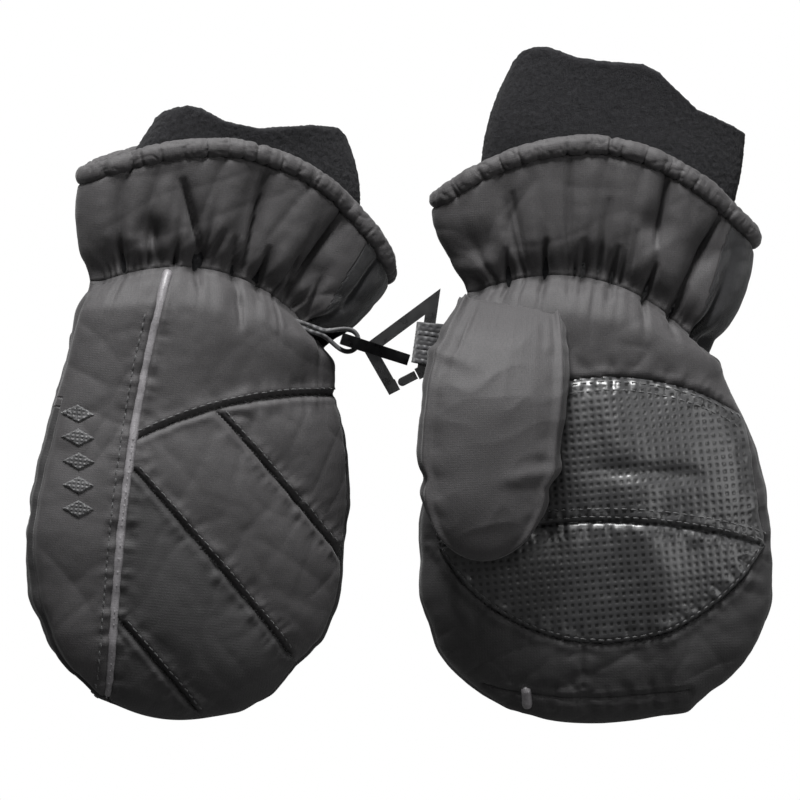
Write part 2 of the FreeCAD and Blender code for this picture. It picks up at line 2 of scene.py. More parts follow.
# # A clipped pair of child's ski mittens
# Two insulated mittens lie side by side, held together by a pair of plastic hooks.
# The left one shows its back, with lapped seams and a reflective piping.
# The right one shows its palm, with embossed leather patches and the thumb on top.
# Everything is built around the imported frame, in metres, and moves with its bodies.

# %% Load the frame
import json
import math
import bpy
import numpy as np
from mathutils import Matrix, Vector


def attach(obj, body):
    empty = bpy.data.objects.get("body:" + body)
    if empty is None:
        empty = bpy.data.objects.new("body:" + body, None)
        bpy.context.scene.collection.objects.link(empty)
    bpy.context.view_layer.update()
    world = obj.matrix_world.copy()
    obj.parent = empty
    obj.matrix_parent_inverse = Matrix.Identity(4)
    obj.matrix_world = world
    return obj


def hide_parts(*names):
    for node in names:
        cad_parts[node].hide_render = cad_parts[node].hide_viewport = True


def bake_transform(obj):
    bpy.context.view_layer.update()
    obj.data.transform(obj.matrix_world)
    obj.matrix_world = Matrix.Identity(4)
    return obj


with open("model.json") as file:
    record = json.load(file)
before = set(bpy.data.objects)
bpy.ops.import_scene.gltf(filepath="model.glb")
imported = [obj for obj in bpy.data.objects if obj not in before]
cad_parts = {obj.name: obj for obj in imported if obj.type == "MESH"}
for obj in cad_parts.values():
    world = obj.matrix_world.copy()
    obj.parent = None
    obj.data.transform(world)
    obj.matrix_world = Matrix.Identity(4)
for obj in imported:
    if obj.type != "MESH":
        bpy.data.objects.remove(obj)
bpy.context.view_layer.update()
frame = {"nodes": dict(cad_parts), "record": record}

joints = {joint["name"]: joint for joint in frame["record"]["behaviour"]["joints"]}

# %% [markdown]
# ## Small tools
# Cloth is worked out as whole arrays of points on a grid, in millimetres.
# A mesh is filled straight from those arrays, so no loop ever visits a single point.

# %% Mesh from a grid
MM = 0.001


def grid_faces(rows, columns, wrap_rows=False, wrap_columns=False):
    """Four corner indices of every cell of a grid; a wrapped direction joins its last line to its first."""
    row = np.arange(rows if wrap_rows else rows - 1)
    column = np.arange(columns if wrap_columns else columns - 1)
    r, c = np.meshgrid(row, column, indexing="ij")
    r2 = (r + 1) % rows
    c2 = (c + 1) % columns
    corners = [r * columns + c, r * columns + c2, r2 * columns + c2, r2 * columns + c]
    return np.stack(corners, axis=-1).reshape(-1, 4)


def make_mesh(name, points, faces, uv=None, smooth=True):
    """A mesh object at the origin from points in millimetres and four-cornered faces."""
    used, index = np.unique(faces, return_inverse=True)
    faces = index.reshape(-1, 4)
    mesh = bpy.data.meshes.new(name)
    mesh.vertices.add(len(used))
    mesh.vertices.foreach_set("co", (points.reshape(-1, 3)[used] * MM).astype(np.float32).ravel())
    mesh.loops.add(faces.size)
    mesh.loops.foreach_set("vertex_index", faces.astype(np.int32).ravel())
    mesh.polygons.add(len(faces))
    mesh.polygons.foreach_set("loop_start", np.arange(0, faces.size, 4, dtype=np.int32))
    mesh.polygons.foreach_set("use_smooth", np.full(len(faces), smooth))
    if uv is not None:
        layer = mesh.uv_layers.new(name="cloth")
        layer.data.foreach_set("uv", (uv.reshape(-1, 2)[used][faces.ravel()] * MM).astype(np.float32).ravel())
    mesh.update(calc_edges=True)
    mesh.validate()
    obj = bpy.data.objects.new(name, mesh)
    bpy.context.scene.collection.objects.link(obj)
    return obj


def face_outward(world, faces):
    """The faces of a grid, turned round where they look, on the whole, towards their rows' own middles."""
    first, second, third = (world.reshape(-1, 3)[faces[:, k]] for k in (0, 1, 3))
    middle = world.mean(axis=1)[faces[:, 0] // world.shape[1]]
    outward = np.sum(np.cross(second - first, third - first) * (first - middle))
    return faces[:, ::-1] if outward < 0 else faces


def squared_off(value, power):
    """A sine or cosine raised to a power with its sign kept: below one it fills out an oval's corners."""
    return np.sign(value) * np.abs(value) ** power


def above_floor(world, clear):
    """The points with none lower than the given clearance over the floor."""
    world[..., 2] = np.maximum(world[..., 2], clear)
    return world


def grid_normals(points, wrap_rows=False, wrap_columns=False):
    """Unit normals of a grid: the cross product of its two directions of travel."""
    def travel(axis, wrap):
        if wrap:
            return np.roll(points, -1, axis) - np.roll(points, 1, axis)
        return np.gradient(points, axis=axis)
    normal = np.cross(travel(0, wrap_rows), travel(1, wrap_columns))
    length = np.linalg.norm(normal, axis=-1, keepdims=True)
    return normal / np.maximum(length, 1e-9)


# %% [markdown]
# ## Noise
# Creased cloth is never regular. Value noise gives a smooth random height: random numbers
# sit on a lattice, and each point takes a soft mix of the eight round it. A seed fixes them.

# %% Value noise on whole arrays
def lattice(i, j, k, seed):
    """A number from 0 to 1 for each whole-number lattice place, mixed by multiplying and shifting."""
    n = i.astype(np.int64) * 374761393 + j.astype(np.int64) * 668265263 + k.astype(np.int64) * 974634777
    n = (n + seed * 1274126177) & 0xFFFFFFFF
    n = ((n ^ (n >> 13)) * 1274126177) & 0xFFFFFFFF
    n = n ^ (n >> 16)
    return (n & 0xFFFF) / 65535.0


def lattice_noise(x, y, z=0.0, seed=1):
    """Smooth noise from -1 to 1 at each point: the lattice's eight corners mixed by smoothstep weights."""
    x, y, z = np.broadcast_arrays(x, y, z)
    base = [np.floor(v) for v in (x, y, z)]
    part = [v - b for v, b in zip((x, y, z), base)]
    part = [p * p * (3 - 2 * p) for p in part]
    total = 0.0
    for a in (0, 1):
        for b in (0, 1):
            for c in (0, 1):
                weight = 1.0
                for p, corner in zip(part, (a, b, c)):
                    weight = weight * (p if corner else 1 - p)
                total = total + weight * lattice(base[0] + a, base[1] + b, base[2] + c, seed)
    return total * 2 - 1


def noise(x, y, z=0.0, seed=1):
    """Two lattice noises turned by 30 and 105 degrees and added, so that no run of cells lines up."""
    first = lattice_noise(0.866 * x + 0.5 * y, 0.866 * y - 0.5 * x, z, seed)
    second = lattice_noise(0.966 * y - 0.259 * x + 17.3, 5.1 - 0.966 * x - 0.259 * y, z + 9.7, seed + 101)
    return 0.72 * (first + second)


def crumple(x, y, z=0.0, seed=1):
    """Sharp-edged creases from 0 to 1: one minus the size of noise, squared, in two scales."""
    coarse = (1 - np.abs(np.clip(noise(x, y, z, seed), -1, 1))) ** 2
    fine = (1 - np.abs(np.clip(noise(x * 2.1, y * 2.1, z, seed + 7), -1, 1))) ** 2
    return 0.7 * coarse + 0.3 * fine


def furrows(x, y, degrees, width, length, seed):
    """Long valleys from 0 to 1 that run at an angle: one minus the size of stretched noise, to the fourth."""
    c, s = math.cos(math.radians(degrees)), math.sin(math.radians(degrees))
    along, across = x * c + y * s, y * c - x * s
    return (1 - np.abs(np.clip(noise(along / length, across / width, 0.0, seed), -1, 1))) ** 4


def blend_step(value, low, high):
    """Smooth step from 0 at low to 1 at high."""
    share = np.clip((value - low) / (high - low), 0, 1)
    return share * share * (3 - 2 * share)


# %% [markdown]
# ## Seam lines
# A seam is an arc through three points or a straight run. Each point of cloth needs its
# distance from the nearest seam, for the groove that the thread pulls, and how far along
# the seam it lies, for the puckers.

# %% Arcs and distances
def arc_line(start, middle, end, count=28):
    """Points along the circle through three points, from the first to the last."""
    a, b, c = (complex(*p) for p in (start, middle, end))
    w = (c - a) / (b - a)
    centre = a - (a - b) * (w - abs(w) ** 2) / 2j / w.imag
    radius = abs(a - centre)
    first = np.angle(a - centre)
    sweep = np.angle((c - centre) / (a - centre))
    through = np.angle((b - centre) / (a - centre))
    if not (0 < through / sweep < 1):
        sweep = sweep - math.copysign(2 * math.pi, sweep)
    angles = first + sweep * np.linspace(0, 1, count)
    circle = centre + radius * np.exp(1j * angles)
    return np.stack([circle.real, circle.imag], axis=-1)


def straight_line(start, end, count=12):
    """Points evenly along a straight run."""
    share = np.linspace(0, 1, count)[:, None]
    return np.array(start) * (1 - share) + np.array(end) * share


def near_line(x, y, line):
    """Distance from each point to a line of short runs, and how far along the line that nearest place is."""
    best = np.full(np.shape(x), 1e9)
    along = np.zeros(np.shape(x))
    travelled = 0.0
    for first, last in zip(line[:-1], line[1:]):
        run = last - first
        length = math.hypot(*run)
        share = np.clip(((x - first[0]) * run[0] + (y - first[1]) * run[1]) / length ** 2, 0, 1)
        gap = np.hypot(x - first[0] - share * run[0], y - first[1] - share * run[1])
        closer = gap < best
        best = np.where(closer, gap, best)
        along = np.where(closer, travelled + share * length, along)
        travelled += length
    return best, along


# %% [markdown]
# ## The mittens' form
# Each mitten is a row of oval sections from fingertip to rim. The hand is widest past its
# middle, the elastic pinches the wrist, and the gauntlet flares again. The rows arch, as
# the gather line and the rim do when a tapered cuff is laid flat.
# Each mitten then has its own small differences: its width, its tilt and how it lies.

# %% Sizes of the mittens (millimetres and degrees)
HAND_LENGTH = 130.0
HAND_THICK = 18.0
WRIST = 41.0
WRIST_THICK = 13.5
RIM = 53.5
RIM_THICK = 17.0
GAUNTLET = 29.0
WRIST_RISE = 14.0
RIM_RISE = 23.0
LEAN = math.radians(10.0)
WIDEST = 0.56 * HAND_LENGTH
SQUARENESS = 2.25

MITTENS = {
    "left": dict(palm_side=-1, palm=53.0, tip=2.0, wrist_tilt=-10.0, rim_tilt=-12.0, turn=-5.5, roll=16.0,
                 thumb_across=-14.0, thumb_thick=7.7, thumb_height=5.6, thumb_sway=0.0, seed=11,
                 wrist=39.8, rim=53.0, gauntlet=29.0, rim_shift=2.2, trim=1.2, length=130.0),
    "right": dict(palm_side=1, palm=56.0, tip=2.8, wrist_tilt=-16.0, rim_tilt=-9.0, turn=2.0, roll=0.0,
                  thumb_across=-24.9, thumb_thick=12.0, thumb_height=10.2, thumb_sway=3.2, seed=23,
                  wrist=40.0, rim=51.3, gauntlet=33.0, rim_shift=-2.0, trim=0.0, length=128.6),
}
THUMB_LENGTH = 82.0
THUMB_HALF = 22.0
THUMB_ROOT = 7.0
THUMB_LEAN = math.radians(7.0)


def turn_matrix(turn, roll):
    """Roll about the hand's length, then turn about the vertical."""
    t, r = math.radians(turn), math.radians(roll)
    about_z = np.array([[math.cos(t), -math.sin(t), 0], [math.sin(t), math.cos(t), 0], [0, 0, 1]])
    about_y = np.array([[math.cos(r), 0, math.sin(r)], [0, 1, 0], [-math.sin(r), 0, math.cos(r)]])
    return about_z @ about_y


def thumb_centre(m, share):
    """The thumb's centreline: it leaves the palm at its root and rises to lie on the palm."""
    distance = share * THUMB_LENGTH
    rise = np.sin(np.pi / 2 * np.clip(share / 0.45, 0, 1))
    height = HAND_THICK * 0.62 + (HAND_THICK * 0.38 + m["thumb_height"]) * rise
    across = m["thumb_across"] - math.sin(THUMB_LEAN) * distance
    along = THUMB_ROOT - math.cos(THUMB_LEAN) * distance
    across = across - m["thumb_sway"] * np.sin(np.pi / 2 * np.clip(share / 0.5, 0, 1))
    return np.stack([across, along, m["palm_side"] * height], axis=-1)


for side, m in MITTENS.items():
    m["side"] = side
    m["matrix"] = turn_matrix(m["turn"], m["roll"])
    root = np.array(joints[side + "_thumb_fold"]["pos_m"]) / MM
    m["base"] = root - m["matrix"] @ thumb_centre(m, np.array(0.0))
    print(side, "wrist stands at", m["base"].round(2))


def to_world(m, points):
    """From a mitten's own frame to the shared frame, in millimetres."""
    return points @ m["matrix"].T + m["base"]


def from_plan(m, x, y):
    """A place seen from above, in millimetres, as the mitten's own across and along."""
    t = math.radians(m["turn"])
    dx, dy = x - m["base"][0], y - m["base"][1]
    across = (dx * math.cos(t) + dy * math.sin(t)) / math.cos(math.radians(m["roll"]))
    return np.stack([across, -dx * math.sin(t) + dy * math.cos(t)], axis=-1)


# %% [markdown]
# ## The bare form
# The form without relief is a grid: a row for each step from fingertip to rim, a column for
# each step round the oval.

# %% The bare form
HAND_SHARE = 0.80     # share of the rows that covers the hand; the rest is the gauntlet
TIP_ROWS = 0.5        # share of the hand's rows that covers its rounded tip


def row_facts(m, tau, depth=0.0):
    """Facts of each row, tip 0 to rim 1: centre, tilt, half width, half thickness, arch and cuff distance.

    The tip is a superellipse, the palm swells by a sine from the wrist, the gauntlet flares by a sine.
    """
    hand = np.clip(tau / HAND_SHARE, 0, 1)
    length = m["length"] - depth
    angle = np.pi / 2 * (1 - np.clip(hand / TIP_ROWS, 0, 1))
    past = np.clip((hand - TIP_ROWS) / (1 - TIP_ROWS), 0, 1)
    down = np.where(hand < TIP_ROWS, WIDEST + (length - WIDEST) * np.sin(angle), WIDEST * (1 - past))
    cuff = np.clip((tau - HAND_SHARE) / (1 - HAND_SHARE), 0, 1)
    tip_share = np.clip((down - WIDEST) / (length - WIDEST), 0, 1)
    palm = m["palm"] - m["trim"] - depth
    swell = np.sin(np.pi / 2 * np.clip(down / WIDEST, 0, 1)) ** 1.35
    wide_hand = m["wrist"] - depth + (palm - m["wrist"] + depth) * swell
    wide_tip = palm * np.sqrt(np.clip(1 - tip_share ** m["tip"], 0, 1))
    width = np.where(down > WIDEST, wide_tip, wide_hand)
    width = width + (m["rim"] - m["wrist"]) * np.sin(np.pi / 2 * cuff)
    full = 0.4 * HAND_LENGTH
    thick_share = np.clip((down - full) / (length - full), 0, 1)
    swell = np.sin(np.pi / 2 * np.clip(down / full, 0, 1))
    thick_hand = WRIST_THICK + (HAND_THICK - WRIST_THICK) * swell - depth
    thick_tip = (HAND_THICK - depth) * np.sqrt(np.clip(1 - thick_share ** 2.4, 0, 1))
    thick = np.where(down > full, thick_tip, thick_hand)
    thick = thick + (RIM_THICK - WRIST_THICK) * cuff
    fade = np.clip(1 - down / (0.35 * HAND_LENGTH), 0, 1) ** 2
    tilt = np.where(cuff > 0, m["wrist_tilt"] + (m["rim_tilt"] - m["wrist_tilt"]) * cuff,
                    m["wrist_tilt"] * fade)
    arch = WRIST_RISE * np.clip(1 - down / 45.0, 0, 1) ** 2 + (RIM_RISE - WRIST_RISE) * cuff
    centre_x = (np.sin(LEAN) * m["gauntlet"] + m["rim_shift"]) * cuff
    centre_y = -down + np.cos(LEAN) * m["gauntlet"] * cuff
    return centre_x, centre_y, np.radians(tilt), width, thick, arch, down, cuff


def bare_form(m, tau, phi, depth=0.0):
    """Points of the form without relief: each row is a squarish oval, arched along the hand and tilted."""
    cx, cy, tilt, width, thick, arch, down, cuff = row_facts(m, tau[:, None], depth)
    lateral = squared_off(np.cos(phi)[None, :], 2 / SQUARENESS)
    height = squared_off(np.sin(phi)[None, :], 2 / SQUARENESS)
    x = width * lateral
    y = arch * (1 - lateral ** 2)
    points = np.stack([cx + x * np.cos(tilt) - y * np.sin(tilt), cy + x * np.sin(tilt) + y * np.cos(tilt),
                       thick * height], axis=-1)
    lateral, height, down, cuff = np.broadcast_arrays(lateral, height, down, cuff)
    return points, lateral, height, down, cuff


# %% [markdown]
# ## Relief of the cloth
# The wadding puffs the cloth between its seams, thread pulls a groove, and every seam
# gathers small puckers. At the wrist a flat elastic throws the cloth into short folds that
# fade into the gauntlet. All of it is added along the form's normals.

# %% Seams of the back and of the palm
def at(m, across, down):
    """A seam point: share of the half palm across, share of the hand's length down."""
    return across * m["palm"], -down * HAND_LENGTH


def back_seams(m):
    """The piping's line, the arched seam and the three slanting seams on the back."""
    return {
        "piping": arc_line(at(m, -0.30, -0.14), at(m, -0.465, 0.38), at(m, -0.405, 0.96)),
        "arch": arc_line(at(m, -0.42, 0.315), at(m, 0.02, 0.228), at(m, 0.80, 0.168)),
        "slant_one": straight_line(at(m, 0.02, 0.228), at(m, 0.92, 0.56)),
        "slant_two": straight_line(at(m, -0.43, 0.395), at(m, 0.66, 0.81)),
        "slant_three": straight_line(at(m, -0.40, 0.77), at(m, 0.135, 0.97)),
    }


def palm_seams(m):
    """The edges of the leather patches."""
    return {
        "top": arc_line(at(m, -0.80, 0.262), at(m, 0.09, 0.138), at(m, 0.87, 0.245)),
        "band": arc_line(at(m, -0.90, 0.54), at(m, 0.27, 0.497), at(m, 0.95, 0.565)),
        "bottom": arc_line(at(m, -0.90, 0.545), at(m, -0.09, 0.785), at(m, 0.96, 0.56)),
        "right": straight_line(at(m, 0.87, 0.245), at(m, 0.96, 0.56)),
        "left": straight_line(at(m, -0.80, 0.262), at(m, -0.90, 0.545)),
    }


def gusset_seams(m):
    """Two seams of the gusset below the patches: one down its middle, one round the fingertips."""
    return [straight_line(at(m, -0.107, 0.785), at(m, -0.107, 0.895)),
            arc_line(at(m, -0.68, 0.885), at(m, -0.10, 0.925), at(m, 0.48, 0.905))]


def arc_height(line, x):
    """Height of a seam that runs across, at each x, level beyond its ends."""
    order = np.argsort(line[:, 0])
    return np.interp(x, line[order, 0], line[order, 1])


def arc_side(line, y):
    """Place across of a seam that runs down the hand, at each y."""
    order = np.argsort(line[:, 1])
    return np.interp(y, line[order, 1], line[order, 0])


for m in MITTENS.values():
    m["back"] = back_seams(m)
    m["front"] = palm_seams(m)

# %% [markdown]
# ## Relief fields
# Every field below gives a height in millimetres for each point of cloth. They are simply
# added together: seams, gathers, pleats, dents, furrows and lumps.

# %% Relief fields
EDGE_SEAM = 0.34      # how far up the side the gusset's edge seam lies, as a share of the thickness
FOLD_PITCH = 8.4      # between the wrist's folds
CUFF_RUN = GAUNTLET + 9.0
LOOSE_HAND = 0.42     # how deep and long the folds run on the hand, as a share of those on the gauntlet


def gathers(m, lateral, travel, face):
    """Folds thrown by the wrist elastic: sharp valleys at uneven places, each of its own depth and reach."""
    seed = m["seed"] + 3
    q = lateral * WRIST + 0.10 * travel * noise(lateral * 2.2, face * 3.0, seed=seed + 1)
    phase = (q + 2.6 * noise(q / 9.0, face * 3.0, seed=seed)) / FOLD_PITCH
    index = np.round(phase)
    side = np.sign(travel) + 3 * face
    loose = np.where(travel > 0, 1.0, LOOSE_HAND)
    reach = (6.0 + 24.0 * lattice(index, side, 0 * index, seed) ** 2) * loose
    depth = (2.2 + 4.0 * lattice(index, side + 9, 0 * index, seed + 2)) * loose
    off = np.abs(phase - index)
    valley = np.exp(-(off / (0.10 + 0.006 * np.abs(travel))) ** 1.6)
    swell = 0.9 * loose * np.cos(2 * np.pi * (phase - index)) * np.exp(-np.abs(travel) / 11.0)
    fine = 0.35 * loose * np.cos(2 * np.pi * (q + 2 * noise(q / 4.0, face, seed=seed + 5)) / 2.9)
    return swell - depth * valley * np.exp(-np.abs(travel) / reach) + fine * np.exp(-np.abs(travel) / 2.6)


def pleat(x, y, start, end, depth):
    """A sharp valley along a run with a broad soft one round it, both fading at its ends."""
    gap, along = near_line(x, y, np.array([start, end], float))
    share = along / math.hypot(end[0] - start[0], end[1] - start[1])
    fade = np.sin(np.pi * (0.12 + 0.76 * share))
    return -depth * fade * (np.exp(-(gap / 0.85) ** 2) + 0.55 * np.exp(-(gap / 3.8) ** 2))


def hollow(x, y, place, reach, depth):
    """A round dent in slack cloth."""
    return -depth * np.exp(-((x - place[0]) ** 2 + (y - place[1]) ** 2) / reach ** 2)


def seam_relief(x, y, lines, groove, puff, reach, seed, width):
    """Groove at the seams, puff away from them and puckers beside them."""
    best = np.full(x.shape, 1e9)
    along = np.zeros(x.shape)
    raised = np.ones(x.shape)
    for line in lines:
        gap, here = near_line(x, y, line)
        along = np.where(gap < best, here, along)
        best = np.minimum(best, gap)
        raised = raised * (1 - np.exp(-gap / reach))
    pucker = noise(along / 3.4, best / 7.0, 0.0, seed) + 0.5 * noise(along / 1.6, best / 5.0, 3.0, seed + 1)
    relief = -groove * np.exp(-(best / width) ** 2) + puff * raised
    relief = relief + 0.40 * width * np.exp(-((best - 2.1) / 0.8) ** 2)
    return relief + 0.70 * pucker * np.exp(-((best - 2.4) / 2.8) ** 2), best


def back_relief(m, x, y, height, down):
    """Relief on the back of the hand: puffs between its seams, and the groove of the gusset's edge seam."""
    relief, gap = seam_relief(x, y, m["back"].values(), 1.3, 3.4, 9.0, m["seed"], 0.65)
    edge = (np.abs(height) - EDGE_SEAM) * HAND_THICK
    on_edge = blend_step(down, 18.0, 45.0)
    relief = relief - on_edge * 1.1 * np.exp(-(edge / 1.1) ** 2)
    clear = blend_step(gap, 0.5, 5.0)
    relief = relief - 0.35 * furrows(x, y, 62.0, 8.0, 26.0, m["seed"] + 2) * clear
    relief = relief - 0.3 * furrows(x, y, -38.0, 9.0, 24.0, m["seed"] + 3) * clear
    return relief + 0.9 * noise(x / 14.0, y / 17.0, 1.7, m["seed"] + 4)


def palm_relief(m, x, y):
    """Relief on the palm: patches held flat by their stitching, gusset cloth puffed round them."""
    lines = list(m["front"].values()) + gusset_seams(m)
    relief, gap = seam_relief(x, y, lines, 0.8, 1.6, 7.0, m["seed"] + 9, 0.5)
    across = blend_step(x, -6.0, 10.0) * (1 - blend_step(x, 24.0, 40.0))
    dent = -1.3 * np.exp(-((y + 47.0 + 0.10 * x) / 3.0) ** 2) * across
    ridge = 2.2 * np.exp(-((x - 9.0 + 0.22 * (y + 40.0)) / 8.0) ** 2) * (1 - blend_step(y, -24.0, -14.0))
    sunk = -2.2 * np.exp(-((x + 16.0) / 9.0) ** 2 - ((y + 62.0) / 22.0) ** 2)
    swell = ridge + sunk + 0.9 * noise(x / 24.0, y / 19.0, 2.2, m["seed"] + 6)
    outside = (1 - in_patch(m, x, y)) * blend_step(gap, 0.5, 5.0)
    crease = 0.45 * furrows(x, y, 24.0, 7.0, 24.0, m["seed"] + 3)
    crease = crease + 0.3 * furrows(x, y, 115.0, 8.0, 20.0, m["seed"] + 5)
    return relief + dent + swell - crease * outside


def in_patch(m, x, y):
    """One inside the outline of the leather patches, zero outside."""
    seams = m["front"]
    inside = (y < arc_height(seams["top"], x)) & (y > arc_height(seams["bottom"], x))
    inside &= (x < arc_side(seams["right"], y)) & (x > arc_side(seams["left"], y))
    return inside.astype(float)


# Pleats run from one place to another at a depth; hollows have a place, a reach and a depth.
PLEATS = {
    "left": [((-73, 66), (-66, 41), 3.8), ((-47, 71), (-53, 39), 4.2), ((-22, 58), (-37, 33), 4.2),
             ((-60, 50), (-64, 42), 2.0), ((-55, 35), (-56, 20), 1.8), ((-10, 44), (-21, 26), 1.6),
             ((-68, 46), (-68, 33), 2.8), ((-56, 48), (-56, 33), 2.8), ((-46, 45), (-48, 30), 3.0),
             ((-36, 42), (-39, 28), 2.8), ((-28, 35), (-32, 24), 2.4), ((-81, 52), (-80, 39), 2.4)],
    "right": [((53, 72), (53, 31), 2.2), ((85, 71), (81, 46), 3.6), ((103, 58), (89, 30), 3.4),
              ((66, 60), (63, 36), 1.8), ((35, 62), (40, 36), 1.8), ((75, 50), (72, 34), 1.6),
              ((33, 44), (32, 29), 2.6), ((46, 47), (44, 31), 2.8), ((58, 47), (57, 31), 2.6),
              ((69, 45), (66, 29), 2.8), ((81, 39), (77, 25), 2.6), ((91, 32), (86, 19), 2.4)],
}
HOLLOWS = {
    "left": [((-82, 50), 4.5, 2.6), ((-93, 42), 5.0, 2.8), ((-31, 37), 4.5, 2.0), ((-57, 26), 5.0, 1.0)],
    "right": [((62, 41), 5.0, 2.4), ((80, 52), 4.5, 2.2), ((24, 45), 6.0, 2.6), ((96, 44), 5.0, 1.8)],
}


def slack_relief(m, x, y):
    """The long creases and dents of the face that shows, placed on the mitten's own plan."""
    relief = 0.0
    for start, end, depth in PLEATS[m["side"]]:
        relief = relief + pleat(x, y, from_plan(m, *start), from_plan(m, *end), depth)
    for place, reach, depth in HOLLOWS[m["side"]]:
        relief = relief + hollow(x, y, from_plan(m, *place), reach, depth)
    return relief


def cuff_relief(m, x, y, lateral, height, cuff):
    """Relief on the gauntlet: soft billows, creases, and short gathers along the hem."""
    billow = 0.8 * noise(lateral * 6.0, cuff * 1.3, height * 2, m["seed"] + 8)
    lengthways = furrows(lateral * 50.0, cuff * 38.0, 80.0, 8.0, 30.0, m["seed"] + 12)
    crossways = furrows(x, y, 20.0, 9.0, 22.0, m["seed"] + 15)
    relief = 1.3 * blend_step(cuff, 0.0, 0.3) + billow
    relief = relief - 0.9 * lengthways * (1 - 0.4 * cuff) - 0.25 * crossways
    q = lateral * RIM
    phase = (q + 4.0 * noise(q / 7.0, height, seed=m["seed"] + 13)) / 7.0
    off = np.abs(phase - np.round(phase))
    deep = 0.6 + 1.2 * lattice(np.round(phase), np.sign(height), 0 * phase, m["seed"] + 14)
    from_rim = (1 - cuff) * CUFF_RUN
    relief = relief - deep * np.exp(-(off / 0.13) ** 1.6) * np.exp(-(from_rim / 4.5) ** 2)
    relief = relief - 1.5 * np.exp(-((from_rim - 1.5) / 1.6) ** 2)
    return relief * blend_step(cuff, 0.0, 0.12)


def relief_of(m, points, lateral, height, down, cuff):
    """All the relief of one mitten's outer cloth, in millimetres along the normals."""
    x, y = points[..., 0], points[..., 1]
    palm = height * m["palm_side"] > 0
    travel = np.where(cuff > 0, cuff * CUFF_RUN, -down)
    hand = np.where(palm, palm_relief(m, x, y), back_relief(m, x, y, height, down))
    hand = hand + 1.6 * np.exp(-((down - 9.0) / 8.0) ** 2)
    hand = hand * blend_step(down, 0.0, 9.0) * (1 - np.exp(-(np.abs(height) / 0.22) ** 2))
    pinch = np.where(travel > 0, 4.2, 2.0)
    wrist = gathers(m, lateral, travel, np.sign(height)) - 3.4 * np.exp(-(travel / pinch) ** 2)
    relief = (hand + cuff_relief(m, x, y, lateral, height, cuff)
              + wrist * blend_step(np.abs(height), 0.02, 0.3))
    tip = blend_step(HAND_LENGTH - down, 0.5, 7.0)
    fine = 0.10 * noise(x / 2.6, y / 2.6, height * 4, m["seed"] + 20)
    lumps = 1.5 * noise(x / 8.0, y / 8.0, 5.0, m["seed"] + 30) * np.exp(-(height / 0.5) ** 2)
    relief = relief + lumps * blend_step(down, 25.0, 70.0)
    relief = relief + slack_relief(m, x, y) * blend_step(height, 0.05, 0.4)
    return (relief + fine) * tip


def cloth(m, tau, phi, extra=None):
    """Points of the outer cloth with its relief, then the flat form's points, normals and share fields."""
    flat, lateral, height, down, cuff = bare_form(m, tau, phi)
    normals = grid_normals(flat)
    relief = relief_of(m, flat, lateral, height, down, cuff)
    if extra is not None:
        relief = relief + extra(flat)
    return flat + normals * relief[..., None], flat, normals, height, down, cuff


# %% [markdown]
# ## Cloth panels
# The outer cloth is one grid from fingertip to rim. Its cells are shared out among the
# sewn panels by which side of each seam they lie on, and each panel is a piece of its own.

# %% Share the grid out among the panels
ROWS = 270
COLUMNS = 364


def past_seam(x, y, line):
    """Positive on the right hand of someone who walks along a straight seam, negative on the left."""
    run = line[-1] - line[0]
    return (x - line[0][0]) * run[1] - (y - line[0][1]) * run[0]


def panel_of(m, x, y, height, down, cuff):
    """Which panel a place of the cloth belongs to."""
    back, front = m["back"], m["front"]
    on_back = -height * m["palm_side"] > np.where(down > 32, EDGE_SEAM, 0.03)
    name = np.full(x.shape, "palm_gusset", dtype=object)
    name[y > arc_height(front["top"], x)] = "wrist_palm_panel"
    patch = in_patch(m, x, y) > 0
    upper = y > arc_height(front["band"], x)
    name[patch & upper] = "palm_patch_upper"
    name[patch & ~upper] = "palm_patch_lower"
    middle = np.full(x.shape, "middle_back_panel", dtype=object)
    middle[y > arc_height(back["arch"], x)] = "upper_back_panel"
    middle[past_seam(x, y, back["slant_two"]) > 0] = "lower_back_panel"
    middle[past_seam(x, y, back["slant_three"]) > 0] = "tip_back_panel"
    outer = past_seam(x, y, back["slant_one"]) < 0
    outer &= (y < arc_height(back["arch"], x)) & (x > back["slant_one"][0][0])
    middle[outer] = "outer_back_panel"
    middle[x < arc_side(back["piping"], y)] = "side_back_panel"
    name[on_back] = middle[on_back]
    name[(cuff > 0) & (height * m["palm_side"] > 0)] = "gauntlet_palm_panel"
    name[(cuff > 0) & (height * m["palm_side"] <= 0)] = "gauntlet_back_panel"
    gusset_edge = math.sin(LEAN) * GAUNTLET + 0.80 * RIM - (1 - cuff) * 14.0
    name[(cuff > 0) & (x > gusset_edge)] = "gauntlet_gusset"
    return name


CLOTH = 0.8
THICKNESS = {"palm_patch_upper": 1.1, "palm_patch_lower": 1.1}
FLOOR_GAP = 0.15
pieces = {}
extras = []


def solid(obj, thickness, offset=-1.0):
    """Give a cloth sheet real thickness, kept on the inner side."""
    modifier = obj.modifiers.new("thickness", "SOLIDIFY")
    modifier.thickness = thickness * MM
    modifier.offset = offset
    return obj


